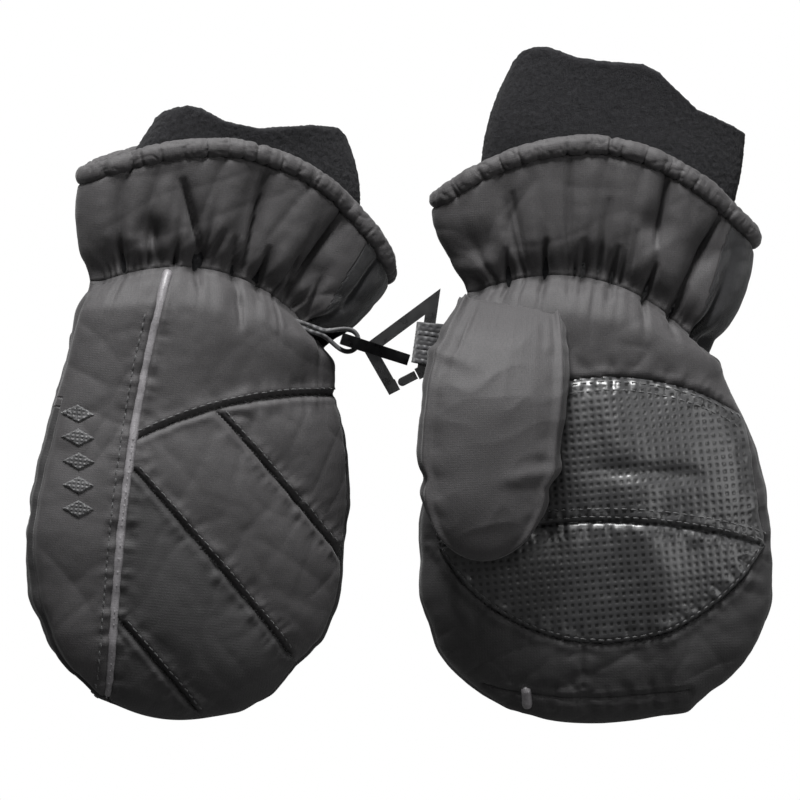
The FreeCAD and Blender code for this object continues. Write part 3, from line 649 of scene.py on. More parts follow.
def make_panels(m):
    """Every sewn panel of one mitten's outer cloth."""
    tau = np.linspace(0.0, 1.0, ROWS)
    phi = np.linspace(0, 2 * np.pi, COLUMNS, endpoint=False)
    points, flat, normals, height, down, cuff = cloth(m, tau, phi)
    faces = grid_faces(ROWS, COLUMNS, wrap_columns=True)
    fields = (flat[..., 0], flat[..., 1], height, down, cuff)
    names = panel_of(m, *(field.reshape(-1)[faces].mean(axis=1) for field in fields))
    m["skin"] = (flat[..., :2].reshape(-1, 2), points.reshape(-1, 3), normals.reshape(-1, 3),
                 height.reshape(-1))
    world = above_floor(to_world(m, points), FLOOR_GAP)
    faces = face_outward(world, faces)
    for name in np.unique(names.astype(str)):
        node = m["side"] + "_" + name
        piece = make_mesh(m["side"] + "_cloth_" + name, world, faces[names == name], flat[..., :2])
        solid(piece, THICKNESS.get(name, CLOTH))
        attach(piece, m["side"] + "_mitten")
        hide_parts(node)
        pieces[node] = piece


for m in MITTENS.values():
    make_panels(m)
print("panels", sorted(pieces))

# %% [markdown]
# ## Thumbs
# Each thumb is an oval tube on its own centreline, closed at the tip and open at the root,
# where it runs into the palm. A seam runs down each side of it.

# %% Thumb surface
THUMB_ROWS = 150
THUMB_COLUMNS = 190


def thumb_form(m, depth=0.0, rows=THUMB_ROWS, columns=THUMB_COLUMNS, start=0.0):
    """Ovals round the thumb's centreline, narrowed by a sine to the root and by a power to the tip."""
    u = np.linspace(0, 1, rows)
    share = start + (1 - start) * np.where(u < 0.5, u, 0.5 + 0.5 * np.sin(np.pi * (u - 0.5)))
    share = share * (1 - depth / THUMB_LENGTH)
    centre = thumb_centre(m, share)
    reach = share / (1 - depth / THUMB_LENGTH)
    root = 0.72 + 0.28 * np.sin(np.pi / 2 * np.clip(reach / 0.4, 0, 1))
    tip = np.sqrt(np.clip(1 - np.clip((reach - 0.5) / 0.5, 0, 1) ** 2.3, 0, 1))
    notch = 1.6 * np.exp(-((reach - 0.70) / 0.04) ** 2)
    wide = (THUMB_HALF * 1.05 * root - depth) * tip - notch * (depth < 1)
    risen = np.sin(np.pi / 2 * np.clip(0.10 + reach / 0.20, 0, 1))
    thick = np.maximum(m["thumb_thick"] - depth, 1.5) * (0.75 + 0.25 * root) * tip * risen
    phi = np.linspace(0, 2 * np.pi, columns, endpoint=False)
    lateral = squared_off(np.cos(phi)[None, :], 0.9)
    height = squared_off(np.sin(phi)[None, :], 0.9) * m["palm_side"]
    side_x, side_y = math.cos(THUMB_LEAN), -math.sin(THUMB_LEAN)
    x = centre[:, 0:1] + wide[:, None] * lateral * side_x
    y = centre[:, 1:2] + wide[:, None] * lateral * side_y
    z = centre[:, 2:3] + thick[:, None] * height
    share, lateral, height = np.broadcast_arrays(share[:, None], lateral, height)
    return np.stack([x, y, z], axis=-1), share, lateral, height


def thumb_relief(m, points, share, lateral, height):
    """Seam grooves down both sides, a puffed middle, and creases where the thumb bends."""
    x, y = points[..., 0], points[..., 1]
    facing = height * m["palm_side"]
    gap = np.abs(np.abs(lateral) - 0.86) * THUMB_HALF + 3.0 * (facing < -0.2)
    along = share * THUMB_LENGTH
    pucker = noise(along / 3.6, lateral * 3, 0.0, m["seed"] + 31)
    relief = -1.3 * np.exp(-(gap / 1.0) ** 2) + 0.40 * pucker * np.exp(-((gap - 2.6) / 2.6) ** 2)
    relief = relief + 1.2 * (1 - np.exp(-gap / 6.0))
    crease = furrows(x, y, 70.0, 9.0, 26.0, m["seed"] + 33)
    crease = crease + 0.8 * furrows(x, y, 20.0, 8.0, 18.0, m["seed"] + 35)
    relief = relief - 0.35 * crease + 0.7 * noise(x / 15.0, y / 19.0, height, m["seed"] + 34)
    bend = -1.1 * np.exp(-((along - 30.0 - 0.25 * x) / 2.6) ** 2) * blend_step(-lateral, 0.1, 0.7)
    bend = bend - 0.9 * np.exp(-((along - 47.0 + 0.3 * x) / 2.4) ** 2) * blend_step(lateral, 0.0, 0.6)
    folds = gathers(m, lateral, -along, 2.0 + 0.0 * lateral) * (facing > 0)
    return (relief + bend) * blend_step(1 - share, 0.0, 0.12) + 0.8 * folds * blend_step(along, 1.0, 9.0)


def make_thumb(m):
    """The outer and inner cloth of one thumb, baked into plain meshes."""
    points, share, lateral, height = thumb_form(m)
    normals = grid_normals(points, wrap_columns=True) * m["palm_side"]
    relief = thumb_relief(m, points, share, lateral, height)
    world = above_floor(to_world(m, points + normals * relief[..., None]), FLOOR_GAP)
    faces = face_outward(world, grid_faces(THUMB_ROWS, THUMB_COLUMNS, wrap_columns=True))
    outer = height.reshape(-1)[faces].mean(axis=1) * m["palm_side"] > 0
    side = m["side"]
    for name, chosen in (("thumb_outer_panel", outer), ("thumb_inner_panel", ~outer)):
        piece = make_mesh(side + "_cloth_" + name, world, faces[chosen], points[..., :2])
        solid(piece, CLOTH)
        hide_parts(side + "_" + name)
        bake(piece)
        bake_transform(piece)
        pieces[side + "_" + name] = piece


def bake(piece):
    """Make the modifiers part of the mesh."""
    graph = bpy.context.evaluated_depsgraph_get()
    mesh = bpy.data.meshes.new_from_object(piece.evaluated_get(graph))
    piece.modifiers.clear()
    piece.data = mesh


for m in MITTENS.values():
    make_thumb(m)

# %% [markdown]
# ## Inside: lining and wadding
# Behind the cloth lie a sheet of wadding and a thin knitted lining, each following the same
# form further in.

# %% Inner layers
def inner_layer(m, name, node, body, points, thickness):
    """A closed layer from a grid of points, given thickness."""
    world = to_world(m, points)
    faces = face_outward(world, grid_faces(*points.shape[:2], wrap_columns=True))
    piece = make_mesh(m["side"] + name, world, faces, points[..., :2])
    solid(piece, thickness)
    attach(piece, m["side"] + body)
    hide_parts(m["side"] + node)
    pieces[m["side"] + node] = piece


def inner_shell(m, name, node, depth, thickness, end):
    """The hand's layer: the bare form moved inward by a depth, from the tip to a share of the rows."""
    points, lateral, height, down, cuff = bare_form(
        m, np.linspace(0.0, end, 90), np.linspace(0, 2 * np.pi, 120, endpoint=False), depth)
    ripple = noise(points[..., 0] / 7, points[..., 1] / 7, height, m["seed"] + 40)
    points[..., 2] = points[..., 2] + 0.25 * ripple
    inner_layer(m, name, node, "_mitten", points, thickness)


def inner_thumb(m, name, node, depth, thickness):
    """The thumb's layer, which rides the thumb."""
    inner_layer(m, name, node, "_thumb", thumb_form(m, depth, 50, 60, 0.12)[0], thickness)


for m in MITTENS.values():
    inner_shell(m, "_wadding", "_hand_insulation", 3.6, 2.2, 0.70)
    inner_shell(m, "_lining", "_hand_lining", 6.4, 0.7, 0.73)
    inner_thumb(m, "_thumb_wadding", "_thumb_insulation", 2.6, 1.8)
    inner_thumb(m, "_thumb_knit", "_thumb_lining", 4.8, 0.6)

# %% [markdown]
# ## Hem
# The rim is rolled round an elastic, so the hem is a thick gathered tube with a join.

# %% The hem
HEM_RADIUS = 3.1
HEM_WIDE = HEM_RADIUS - 0.7
HEM_STEPS = 900       # rings along the hem
HEM_ROUND = 40        # points round it
JOIN_PLACE = {"left": 0.27, "right": 0.25}


def rim_line(m):
    """The rim's line, its points evenly apart and smoothed by mean places over and over; and its length."""
    phi = np.linspace(0, 2 * np.pi, HEM_STEPS, endpoint=False)
    path = cloth(m, np.array([0.985, 1.0]), phi)[0][1]
    length = np.cumsum(np.linalg.norm(np.roll(path, -1, 0) - path, axis=-1))
    even = np.linspace(0, length[-1], HEM_STEPS, endpoint=False)
    path = np.stack([np.interp(even, length, path[:, k], period=length[-1]) for k in range(3)], axis=-1)
    for _ in range(60):
        path = 0.5 * path + 0.25 * (np.roll(path, 1, 0) + np.roll(path, -1, 0))
    return path, length[-1]


def closed_tube(path, up, wide, tall, relief):
    """A tube round a closed line of points: each ring is an oval across the line, swollen by the relief."""
    tangent = np.roll(path, -1, 0) - np.roll(path, 1, 0)
    tangent /= np.linalg.norm(tangent, axis=-1, keepdims=True)
    up = up - np.sum(up * tangent, axis=-1, keepdims=True) * tangent
    up /= np.maximum(np.linalg.norm(up, axis=-1, keepdims=True), 1e-9)
    out = np.cross(tangent, up)
    angle = np.linspace(0, 2 * np.pi, HEM_ROUND, endpoint=False)[None, :]
    reach = 1 + relief(np.arange(len(path))[:, None] / len(path), angle)
    return (path[:, None, :] + out[:, None, :] * (wide * np.cos(angle) * reach)[..., None]
            + up[:, None, :] * (tall * np.sin(angle) * reach)[..., None])


def make_hem(m):
    """The gathered tube round the rim: fine folds across it, a pinch at its join and soft swells along it."""
    path, total = rim_line(m)
    seed = m["seed"] + 50

    def folds(place, angle):
        travel = place * total
        shift = 2.0 * noise(travel / 6.0, np.cos(angle), np.sin(angle), seed)
        waves = np.cos(2 * np.pi * (travel + shift) / 3.1)
        swell = noise(travel / 9.0, np.cos(angle) * 0.7, np.sin(angle) * 0.7, seed + 1)
        crease = crumple(travel / 5.0, np.cos(angle) * 1.2, np.sin(angle) * 1.2, seed + 2)
        lap = np.exp(-((place - JOIN_PLACE[m["side"]]) * total / 0.9) ** 2)
        nip = (travel + 5.0 * noise(travel / 9.0, 0.0, seed=seed + 3)) / 8.5
        pinched = np.exp(-(np.abs(nip - np.round(nip)) / 0.09) ** 1.6) * (0.4 + 0.6 * (np.sin(angle) < 0.3))
        creased = 0.12 * blend_step(crease, 0.6, 1.0) + 0.20 * pinched + 0.25 * lap
        return 0.02 * waves + 0.10 * swell - creased

    up = np.array([math.sin(LEAN), math.cos(LEAN), 0.0])
    tube = closed_tube(path + 0.3 * up, up, HEM_WIDE, HEM_RADIUS, folds)
    world = above_floor(to_world(m, tube), FLOOR_GAP)
    faces = face_outward(world, grid_faces(HEM_STEPS, HEM_ROUND, wrap_rows=True, wrap_columns=True))
    along, round_it = np.arange(HEM_STEPS) * total / HEM_STEPS, np.arange(HEM_ROUND) * 0.45
    uv = np.stack(np.meshgrid(along, round_it, indexing="ij"), axis=-1)
    hem = make_mesh(m["side"] + "_hem_tube", world, faces, uv)
    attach(hem, m["side"] + "_mitten")
    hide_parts(m["side"] + "_gauntlet_hem")
    pieces[m["side"] + "_gauntlet_hem"] = hem


for m in MITTENS.values():
    make_hem(m)

# %% [markdown]
# ## Places on the cloth
# Piping, stitches and stitched patches lie on the puffed cloth, so each looks up the
# nearest grid points of the skin and takes their mean place and normal.

# %% Look-up on the skin
def on_cloth(m, line, face):
    """Places and normals of the skin under plan points, weighted by nearness over the four nearest."""
    flat, points, normals, height = m["skin"]
    chosen = height * face > 0.03
    flat, points, normals = flat[chosen], points[chosen], normals[chosen]
    found, facing = [], []
    for block in np.array_split(line, max(1, len(line) // 120)):
        gap = ((block[:, None, :] - flat[None, :, :]) ** 2).sum(axis=-1)
        nearest = np.argpartition(gap, 4, axis=1)[:, :4]
        weight = 1 / (np.take_along_axis(gap, nearest, 1) + 0.01)
        weight = (weight / weight.sum(axis=1, keepdims=True))[..., None]
        found.append((points[nearest] * weight).sum(axis=1))
        facing.append((normals[nearest] * weight).sum(axis=1))
    facing = np.concatenate(facing)
    return np.concatenate(found), facing / np.linalg.norm(facing, axis=1, keepdims=True)


def even_line(line, pitch):
    """The same line with points one pitch apart, and its unit directions."""
    step = np.hypot(*(line[1:] - line[:-1]).T)
    length = np.concatenate([[0], np.cumsum(step)])
    places = np.arange(pitch / 2, length[-1], pitch)
    even = np.stack([np.interp(places, length, line[:, k]) for k in (0, 1)], axis=-1)
    way = np.gradient(even, axis=0)
    return even, way / np.linalg.norm(way, axis=1, keepdims=True)


def beside_line(line, offset):
    """A line shifted sideways by an offset, positive to its left."""
    way = np.gradient(line, axis=0)
    way /= np.linalg.norm(way, axis=1, keepdims=True)
    return line + offset * np.stack([-way[:, 1], way[:, 0]], axis=-1)


def stitch_row(name, m, line, face, pitch, length, radius, lift):
    """A row of stitches: each is a small capsule that lies along the line, half sunk into the cloth."""
    even, way = even_line(line, pitch)
    place, normal = on_cloth(m, even, face)
    along = np.stack([way[:, 0], way[:, 1], 0 * way[:, 0]], axis=-1)
    along = along - np.sum(along * normal, axis=1, keepdims=True) * normal
    along /= np.linalg.norm(along, axis=1, keepdims=True)
    across = np.cross(normal, along)
    ends = np.array([-1.0, -0.8, 0.0, 0.8, 1.0])
    fat = np.array([0.05, 0.75, 1.0, 0.75, 0.05])
    angle = np.linspace(0, 2 * np.pi, 7, endpoint=False)
    vectors = (place + normal * lift, along, across, normal)
    place, along, across, normal = (v[:, None, None, :] for v in vectors)
    points = (place + along * (ends * length / 2)[:, None, None]
              + across * (radius * fat[:, None] * np.cos(angle))[..., None]
              + normal * (radius * fat[:, None] * np.sin(angle))[..., None])
    one = grid_faces(len(ends), len(angle), wrap_columns=True)[:, ::-1]
    faces = (one[None] + len(ends) * len(angle) * np.arange(len(even))[:, None, None]).reshape(-1, 4)
    uv = np.stack([0 * points[..., 0] + 1, 0 * points[..., 0]], axis=-1)
    piece = make_mesh(name, to_world(m, points), faces, uv)
    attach(piece, m["side"] + "_mitten")
    extras.append((piece, name))


# %% [markdown]
# ## Piping and stitching
# A folded reflective tape is let into the seam down the back. Dark twin stitches run beside
# every lapped seam, and two rows hold the edges of the leather.

# %% Piping
PIPING_WIDTH = 3.2
PIPING_HEIGHT = 1.7
PIPING_STEP = 0.8
PIPING_ROUND = 22
THREAD = dict(pitch=2.6, length=1.9, radius=0.26, lift=0.05)


def make_piping(m, line, face, name):
    """A half-round rib along the seam, its place taken from the skin and smoothed along its length."""
    even, way = even_line(line, PIPING_STEP)
    place, normal = on_cloth(m, even, face)
    for _ in range(6):
        place[1:-1] = 0.5 * place[1:-1] + 0.25 * (place[2:] + place[:-2])
        normal[1:-1] = 0.5 * normal[1:-1] + 0.25 * (normal[2:] + normal[:-2])
    along = np.gradient(place, axis=0)
    along /= np.linalg.norm(along, axis=1, keepdims=True)
    across = np.cross(normal, along)
    across /= np.linalg.norm(across, axis=1, keepdims=True)
    up = np.cross(along, across)
    angle = np.linspace(0, 2 * np.pi, PIPING_ROUND, endpoint=False)
    count = np.arange(len(even))
    end = np.minimum(count, count[::-1]) / 2.0
    full = np.sqrt(np.clip(1 - (1 - np.clip(end, 0, 1)) ** 2, 0.001, 1))
    ripple = 1 + 0.05 * noise(count / 2.2, 0.0, seed=m["seed"] + 60)
    wide = (PIPING_WIDTH / 2 * full * ripple)[:, None]
    tall = (PIPING_HEIGHT * full * ripple)[:, None]
    points = (place[:, None] + across[:, None] * (wide * np.cos(angle))[..., None]
              + up[:, None] * (tall * np.sin(angle) + 0.2)[..., None])
    uv = np.stack(np.meshgrid(count * PIPING_STEP, angle * 1.2, indexing="ij"), axis=-1)
    world = to_world(m, points)
    faces = face_outward(world, grid_faces(len(even), PIPING_ROUND, wrap_columns=True))
    piping = make_mesh(m["side"] + "_piping_" + name, world, faces, uv)
    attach(piping, m["side"] + "_mitten")
    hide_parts(m["side"] + "_reflective_piping")
    extras.append((piping, "piping"))


for m in MITTENS.values():
    side, back_face, seam = m["side"], -m["palm_side"], m["back"]["piping"]
    make_piping(m, seam[1:], back_face, "rib")
    make_piping(m, straight_line(at(m, -0.436, 0.885), at(m, -0.425, 0.945)), -back_face, "tab")
    stitch_row(side + "_piping_glints", m, seam[10:], back_face, 2.1, 0.9, 0.2, PIPING_HEIGHT + 0.15)
    outward = 3.6 if seam[0, 1] < seam[-1, 1] else -3.6
    stitch_row(side + "_side_topstitch", m, beside_line(seam[4:], outward), back_face, **THREAD)
    for name, offset in (("arch", 1.9), ("slant_one", 1.7), ("slant_two", 1.7), ("slant_three", 1.7)):
        stitch_row(side + "_stitch_" + name, m, beside_line(m["back"][name], offset), back_face, **THREAD)

# %% [markdown]
# ## Leather
# The patches are stamped with rows of small square dimples. They get a finer grid of their
# own, so that every dimple is real relief.

# %% Stamped patches
DIMPLE_PITCH = 2.35
DIMPLE = 0.62
DIMPLE_DEPTH = 0.2
STAMP_SLANT = 0.06
LEATHER_LIFT = 0.6    # of the leather over the cloth
LEATHER_THREAD = dict(pitch=2.7, length=2.0, radius=0.3, lift=0.62)


def pit_side(place):
    """One at the middle of a dimple's row, zero between rows, along one direction of the stamp."""
    gap = np.abs(place / DIMPLE_PITCH - np.round(place / DIMPLE_PITCH)) * DIMPLE_PITCH
    return 1 - blend_step(gap, DIMPLE * 0.62, DIMPLE * 1.15)


def stamped(m):
    """The stamp's relief on the flat places: square pits with soft rims, fading towards the patch's edge."""
    def pits(points):
        x, y = points[..., 0], points[..., 1]
        square = pit_side(x + STAMP_SLANT * y) * pit_side(y - STAMP_SLANT * x)
        nearest = np.full(x.shape, 1e9)
        for line in m["front"].values():
            nearest = np.minimum(nearest, near_line(x, y, line)[0])
        edge = blend_step(nearest, 2.2, 3.4)
        uneven = 0.75 + 0.25 * noise(x / 9.0, y / 9.0, seed=m["seed"] + 70)
        return LEATHER_LIFT + edge * (0.1 - DIMPLE_DEPTH * square * uneven)
    return pits


def make_patches(m, rows, columns):
    """Both leather patches from one fine grid over the palm, raised a little over the cloth."""
    tau = np.linspace(0.20, 0.72, rows)
    middle = np.pi / 2 if m["palm_side"] > 0 else 3 * np.pi / 2
    phi = np.linspace(middle - 1.45, middle + 1.45, columns)
    points, flat = cloth(m, tau, phi, stamped(m))[:2]
    faces = grid_faces(rows, columns)[:, ::-1]
    x, y = (flat[..., k].reshape(-1)[faces].mean(axis=1) for k in (0, 1))
    inside = in_patch(m, x, y) > 0
    upper = y > arc_height(m["front"]["band"], x)
    world = above_floor(to_world(m, points), 0.1)
    for name, chosen in (("palm_patch_upper", inside & upper), ("palm_patch_lower", inside & ~upper)):
        node = m["side"] + "_" + name
        piece = make_mesh(m["side"] + "_leather_" + name, world, faces[chosen], flat[..., :2])
        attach(piece, m["side"] + "_mitten")
        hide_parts(node)
        extras.append((piece, "leather"))


make_patches(MITTENS["right"], 322, 446)
make_patches(MITTENS["left"], 150, 200)
for m in MITTENS.values():
    side, face = m["side"], m["palm_side"]
    top, band, bottom = m["front"]["top"], m["front"]["band"], m["front"]["bottom"]
    for name, line, offset in (("band_one", band, 1.6), ("band_two", band, 4.2), ("top_one", top, -1.5),
                               ("top_two", top, -4.2), ("patch_bottom", bottom, 1.4)):
        if line[0, 0] > line[-1, 0]:
            line = line[::-1]
        stitch_row(side + "_stitch_" + name, m, beside_line(line, offset), face, **LEATHER_THREAD)


# %% [markdown]
# ## A row of lozenges
# The side panel carries a plain woven ornament: a row of lozenges in satin stitch, each
# stitch a ridge across the lozenge.

# %% Lozenges
LOZENGE_GRID = 26


def make_lozenges(m, first, last, count, long_half, short_half):
    """Lozenges evenly along a run: a square grid turned on its corner, raised by a dome and stitch ridges."""
    first, last = from_plan(m, *first), from_plan(m, *last)
    way = (last - first) / np.hypot(*(last - first))
    across = np.array([-way[1], way[0]])
    one = np.linspace(-1, 1, LOZENGE_GRID)
    a, b = np.meshgrid(one, one, indexing="ij")
    u, v = (a + b) / 2, (a - b) / 2
    for k in range(count):
        centre = first + (last - first) * (k + 0.5) / count
        plan = centre + way * (u * short_half)[..., None] + across * (v * long_half)[..., None]
        place, normal = on_cloth(m, plan.reshape(-1, 2), -m["palm_side"])
        place, normal = place.reshape(*a.shape, 3), normal.reshape(*a.shape, 3)
        edge = np.clip(1 - np.maximum(np.abs(a), np.abs(b)), 0, 0.18) / 0.18
        ridge = 0.10 * np.cos(2 * np.pi * v * long_half / 0.6)
        lift = -0.3 + (0.85 + ridge) * np.sqrt(edge)
        world = to_world(m, place + normal * lift[..., None])
        faces = grid_faces(*a.shape)
        if grid_normals(world)[..., 2].mean() > 0:
            faces = faces[:, ::-1]
        piece = make_mesh(m["side"] + "_lozenge_%d" % (k + 1), world, faces, plan)
        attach(piece, m["side"] + "_mitten")
        extras.append((piece, "lozenge"))


make_lozenges(MITTENS["left"], (-104, -4), (-105, -41), 5, 4.6, 2.9)

# %% [markdown]
# ## Fleece cuffs
# The cuff is a soft doubled sleeve. Its mouth waves and dips, and its sides bow out beyond
# the mouth's corners. The brushed nap is fine relief over a slow swell.

# %% Sleeves
CUFFS = {
    "left": dict(mouth=[(-78.4, 85.0), (-75.2, 87.2), (-70.6, 88.7), (-66.4, 87.7), (-59.1, 84.2),
                        (-46.9, 82.0), (-30.6, 83.3), (-21.6, 82.6), (-18.2, 80.0)],
                 bow=(7.0, 9.5), thick=12.4, root=31.0),
    "right": dict(mouth=[(35.4, 104.0), (37.4, 106.6), (40.8, 107.8), (45.2, 107.9), (54.5, 104.7),
                         (61.9, 103.4), (77.2, 102.2), (82.4, 99.6), (87.8, 94.5), (94.8, 88.1),
                         (106.7, 83.3), (110.4, 81.4)],
                  bow=(7.5, 2.5), thick=12.6, root=32.0),
}
FLEECE = 2.8          # thickness of the doubled fleece
FLEECE_ROOT = -6.0    # along the hand from the wrist to the sleeve's sewn end


def make_fleece(m):
    """One sleeve as a closed skin: up the outside, over the soft edge and down the inside."""
    facts = CUFFS[m["side"]]
    columns, outer_rows, edge_rows, inner_rows = 380, 130, 9, 40
    mouth = np.array(facts["mouth"])
    mouth = from_plan(m, mouth[:, 0], mouth[:, 1])
    step = np.concatenate([[0], np.cumsum(np.hypot(*(mouth[1:] - mouth[:-1]).T))])
    angle = np.linspace(0, 2 * np.pi, columns, endpoint=False)
    lateral = squared_off(np.cos(angle), 0.9)
    height = squared_off(np.sin(angle), 0.8)
    place = (lateral + 1) / 2 * step[-1]
    mouth_x = np.interp(place, step, mouth[:, 0])
    mouth_y = np.interp(place, step, mouth[:, 1])
    up = np.linspace(0, 1, outer_rows)
    turn = np.linspace(0, np.pi, edge_rows + 2)[1:-1]
    share = np.concatenate([up, np.ones(edge_rows), np.linspace(1, 0, inner_rows)])
    depth = np.concatenate([np.zeros(outer_rows), FLEECE / 2 * (1 - np.cos(turn)),
                            np.full(inner_rows, FLEECE)])
    over = np.concatenate([np.zeros(outer_rows), FLEECE / 2 * np.sin(turn), np.zeros(inner_rows)])
    share, depth, over = share[:, None], depth[:, None], over[:, None]
    shrink = 1 - depth / 34.0
    root_x, root_y = lateral * facts["root"], FLEECE_ROOT
    bow = np.where(lateral < 0, facts["bow"][0], facts["bow"][1]) * np.sin(np.pi * share ** 1.5)
    middle = mouth_x.mean()
    x = (root_x * (1 - share) + ((mouth_x - middle) * shrink + middle) * share) + bow * lateral
    y = root_y * (1 - share) + mouth_y * share + over
    full = facts["thick"] * np.sin(np.pi / 2 * np.clip(share * 1.4, 0, 1))
    tall = (WRIST_THICK - 7.5) * (1 - share) + full * share
    tall = tall - depth - 2.2 * blend_step(share, 0.7, 1.0)
    sway = 1.1 * noise(x / 21.0, y / 24.0, height, m["seed"] + 80) * share
    z = tall * height + sway
    points = np.stack(np.broadcast_arrays(x, y, z), axis=-1)
    normals = grid_normals(points, wrap_rows=True, wrap_columns=True)
    px, py, pz = (points[..., k] for k in range(3))
    swell = 0.8 * noise(px / 16.0, py / 16.0, pz / 12.0, m["seed"] + 81)
    nap = 0.15 * noise(px / 1.0, py / 1.0, pz / 1.0, m["seed"] + 82)
    nap = nap + 0.13 * noise(px / 0.55, py / 0.55, pz / 0.55, m["seed"] + 83)
    outside = blend_step(FLEECE - depth, 0.0, 1.0)
    points = points + normals * ((swell * 0.7 + nap) * (0.3 + 0.7 * outside))[..., None]
    world = above_floor(to_world(m, points), 0.2)
    faces = grid_faces(len(share), columns, wrap_rows=True, wrap_columns=True)[:, ::-1]
    uv = np.stack(np.meshgrid(np.arange(len(share)) * 0.6, np.arange(columns) * 0.5, indexing="ij"), axis=-1)
    sleeve = make_mesh(m["side"] + "_fleece_sleeve", world, faces, uv)
    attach(sleeve, m["side"] + "_mitten")
    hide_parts(m["side"] + "_fleece_cuff")
    pieces[m["side"] + "_fleece_cuff"] = sleeve


for m in MITTENS.values():
    make_fleece(m)

# %% [markdown]
# ## Elastics
# One flat elastic lies inside the wrist and another inside the hem.

# %% Elastics
def inner_band(m, name, depth, first, last, node, thickness, rows):
    """A flat band that follows the form inside the cloth."""
    tau = np.linspace(first, last, rows)
    phi = np.linspace(0, 2 * np.pi, 240, endpoint=False)
    points, lateral, height, down, cuff = bare_form(m, tau, phi)
    normals = grid_normals(points)
    ripple = 0.3 * noise(lateral * 16, height * 4, seed=m["seed"] + 90)
    world = to_world(m, points - normals * (depth + ripple)[..., None])
    faces = grid_faces(rows, 240, wrap_columns=True)[:, ::-1]
    band = make_mesh(name, world, faces, points[..., :2])
    solid(band, thickness)
    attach(band, m["side"] + "_mitten")
    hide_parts(node)
    pieces[node] = band


for m in MITTENS.values():
    inner_band(m, m["side"] + "_wrist_band", 7.2, 0.79, 0.825, m["side"] + "_wrist_elastic", 1.0, 10)
    inner_band(m, m["side"] + "_hem_band", 1.6, 0.985, 0.998, m["side"] + "_hem_elastic", 0.8, 4)

# %% [markdown]
# ## Webbing tabs
# A webbing tab runs out from each wrist, folds round the bar of its hook and runs back.
# Two columns of stitches tack it down, painted white as a highlight for their glints.

# %% Webbing tabs
HOOKS = {"left": dict(turn=-17.7, upright=True, reach=24.0),
         "right": dict(turn=-8.1, upright=False, reach=22.0)}
HOOK_BAR = 22.6
BAR_REACH = 3.5
WEBBING = 13.0
WEBBING_MIDDLE = 1.9 + 0.5 + WEBBING / 2
WEBBING_FLARE = 3.6
SEWN_IN = 2.0


def from_hook(h, points):
    """From a hook's own frame, its bar along y and its nose to -x, to the shared frame in millimetres."""
    t = math.radians(h["turn"])
    if h["upright"]:
        points = np.stack([-points[..., 0], points[..., 2], points[..., 1]], axis=-1)
    x, y = points[..., 0], points[..., 1]
    across, along = x * math.cos(t) - y * math.sin(t), x * math.sin(t) + y * math.cos(t)
    return np.stack([across, along, points[..., 2]], axis=-1) + h["base"]


for side, h in HOOKS.items():
    h["base"] = np.zeros(3)
    middle = np.array(joints[side + "_hook_swivel"]["pos_m"]) / MM
    h["base"] = middle - from_hook(h, np.array([0.0, HOOK_BAR / 2, 0.0]))


def make_webbing(side):
    """A ribbon that runs in from the wrist, folds round the bar and runs back, wider towards the wrist."""
    h = HOOKS[side]
    reach = h["reach"] + SEWN_IN
    leg = np.linspace(reach, 0.0, 46)
    pull = blend_step(leg, 0.0, 9.0)
    leg_height = BAR_REACH * (1 - pull) + 0.75 * pull
    fold = np.linspace(np.pi / 2, 3 * np.pi / 2, 22)[1:-1]
    x = np.concatenate([leg, BAR_REACH * np.cos(fold), leg[::-1]])
    z = np.concatenate([leg_height, BAR_REACH * np.sin(fold), -leg_height[::-1]])
    across = np.linspace(-1, 1, 40)[None, :]
    half = WEBBING / 2 + WEBBING_FLARE * np.clip(x / reach, 0, 1) ** 1.3
    flat_y = WEBBING_MIDDLE + half[:, None] * across
    wave = 0.5 * noise(x[:, None] / 7.0, flat_y / 8.0, z[:, None], 91) * blend_step(x, 4.0, 14.0)[:, None]
    ribs = 0.10 * np.cos(2 * np.pi * flat_y / 1.5)
    height = z[:, None] + (wave + ribs) * np.sign(z[:, None])
    points = np.stack(np.broadcast_arrays(x[:, None], flat_y, height), axis=-1)
    uv = np.stack(np.broadcast_arrays(np.arange(len(x))[:, None] * 0.55, flat_y), axis=-1)
    ribbon = make_mesh(side + "_webbing_ribbon", from_hook(h, points), grid_faces(*flat_y.shape), uv)
    solid(ribbon, 1.3, 0.0)
    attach(ribbon, side + "_mitten")
    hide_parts(side + "_webbing_loop")
    pieces[side + "_webbing_loop"] = ribbon
    tack_marks(side, h)


def tack_marks(side, h):
    """Two columns of bar-tack stitches across the tab beside the bar, painted white as their highlight."""
    rows = np.linspace(-0.86, 0.86, 9)
    marks = []
    for x, shift in ((4.6, 0.0), (6.4, 0.1)):
        y = WEBBING_MIDDLE + WEBBING / 2 * (rows + shift)
        marks.append(np.stack([0 * y + x, y, 0 * y + 1.75], axis=-1))
    centre = np.concatenate(marks)
    angle = np.linspace(0, 2 * np.pi, 8, endpoint=False)
    ring = np.linspace(-np.pi / 2, np.pi / 2, 6)[:, None]
    dome = (0.42 * np.cos(ring) * np.cos(angle), 0.42 * np.cos(ring) * np.sin(angle), 0.28 * np.sin(ring))
    points = centre[:, None, None, :] + np.stack(np.broadcast_arrays(*dome), axis=-1)
    one = grid_faces(len(ring), len(angle), wrap_columns=True)
    faces = (one[None] + len(ring) * len(angle) * np.arange(len(centre))[:, None, None]).reshape(-1, 4)
    uv = np.ones(points.shape[:3] + (2,))
    piece = make_mesh(side + "_webbing_tacks", from_hook(h, points), faces, uv)
    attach(piece, side + "_mitten")
    # The tacks take the white thread: a painted highlight for the glints of the stitches.
    extras.append((piece, "white"))


for side in HOOKS:
    make_webbing(side)

# %% [markdown]
# ## Hooks
# The hooks and their gates keep their solid form, with their edges rounded.

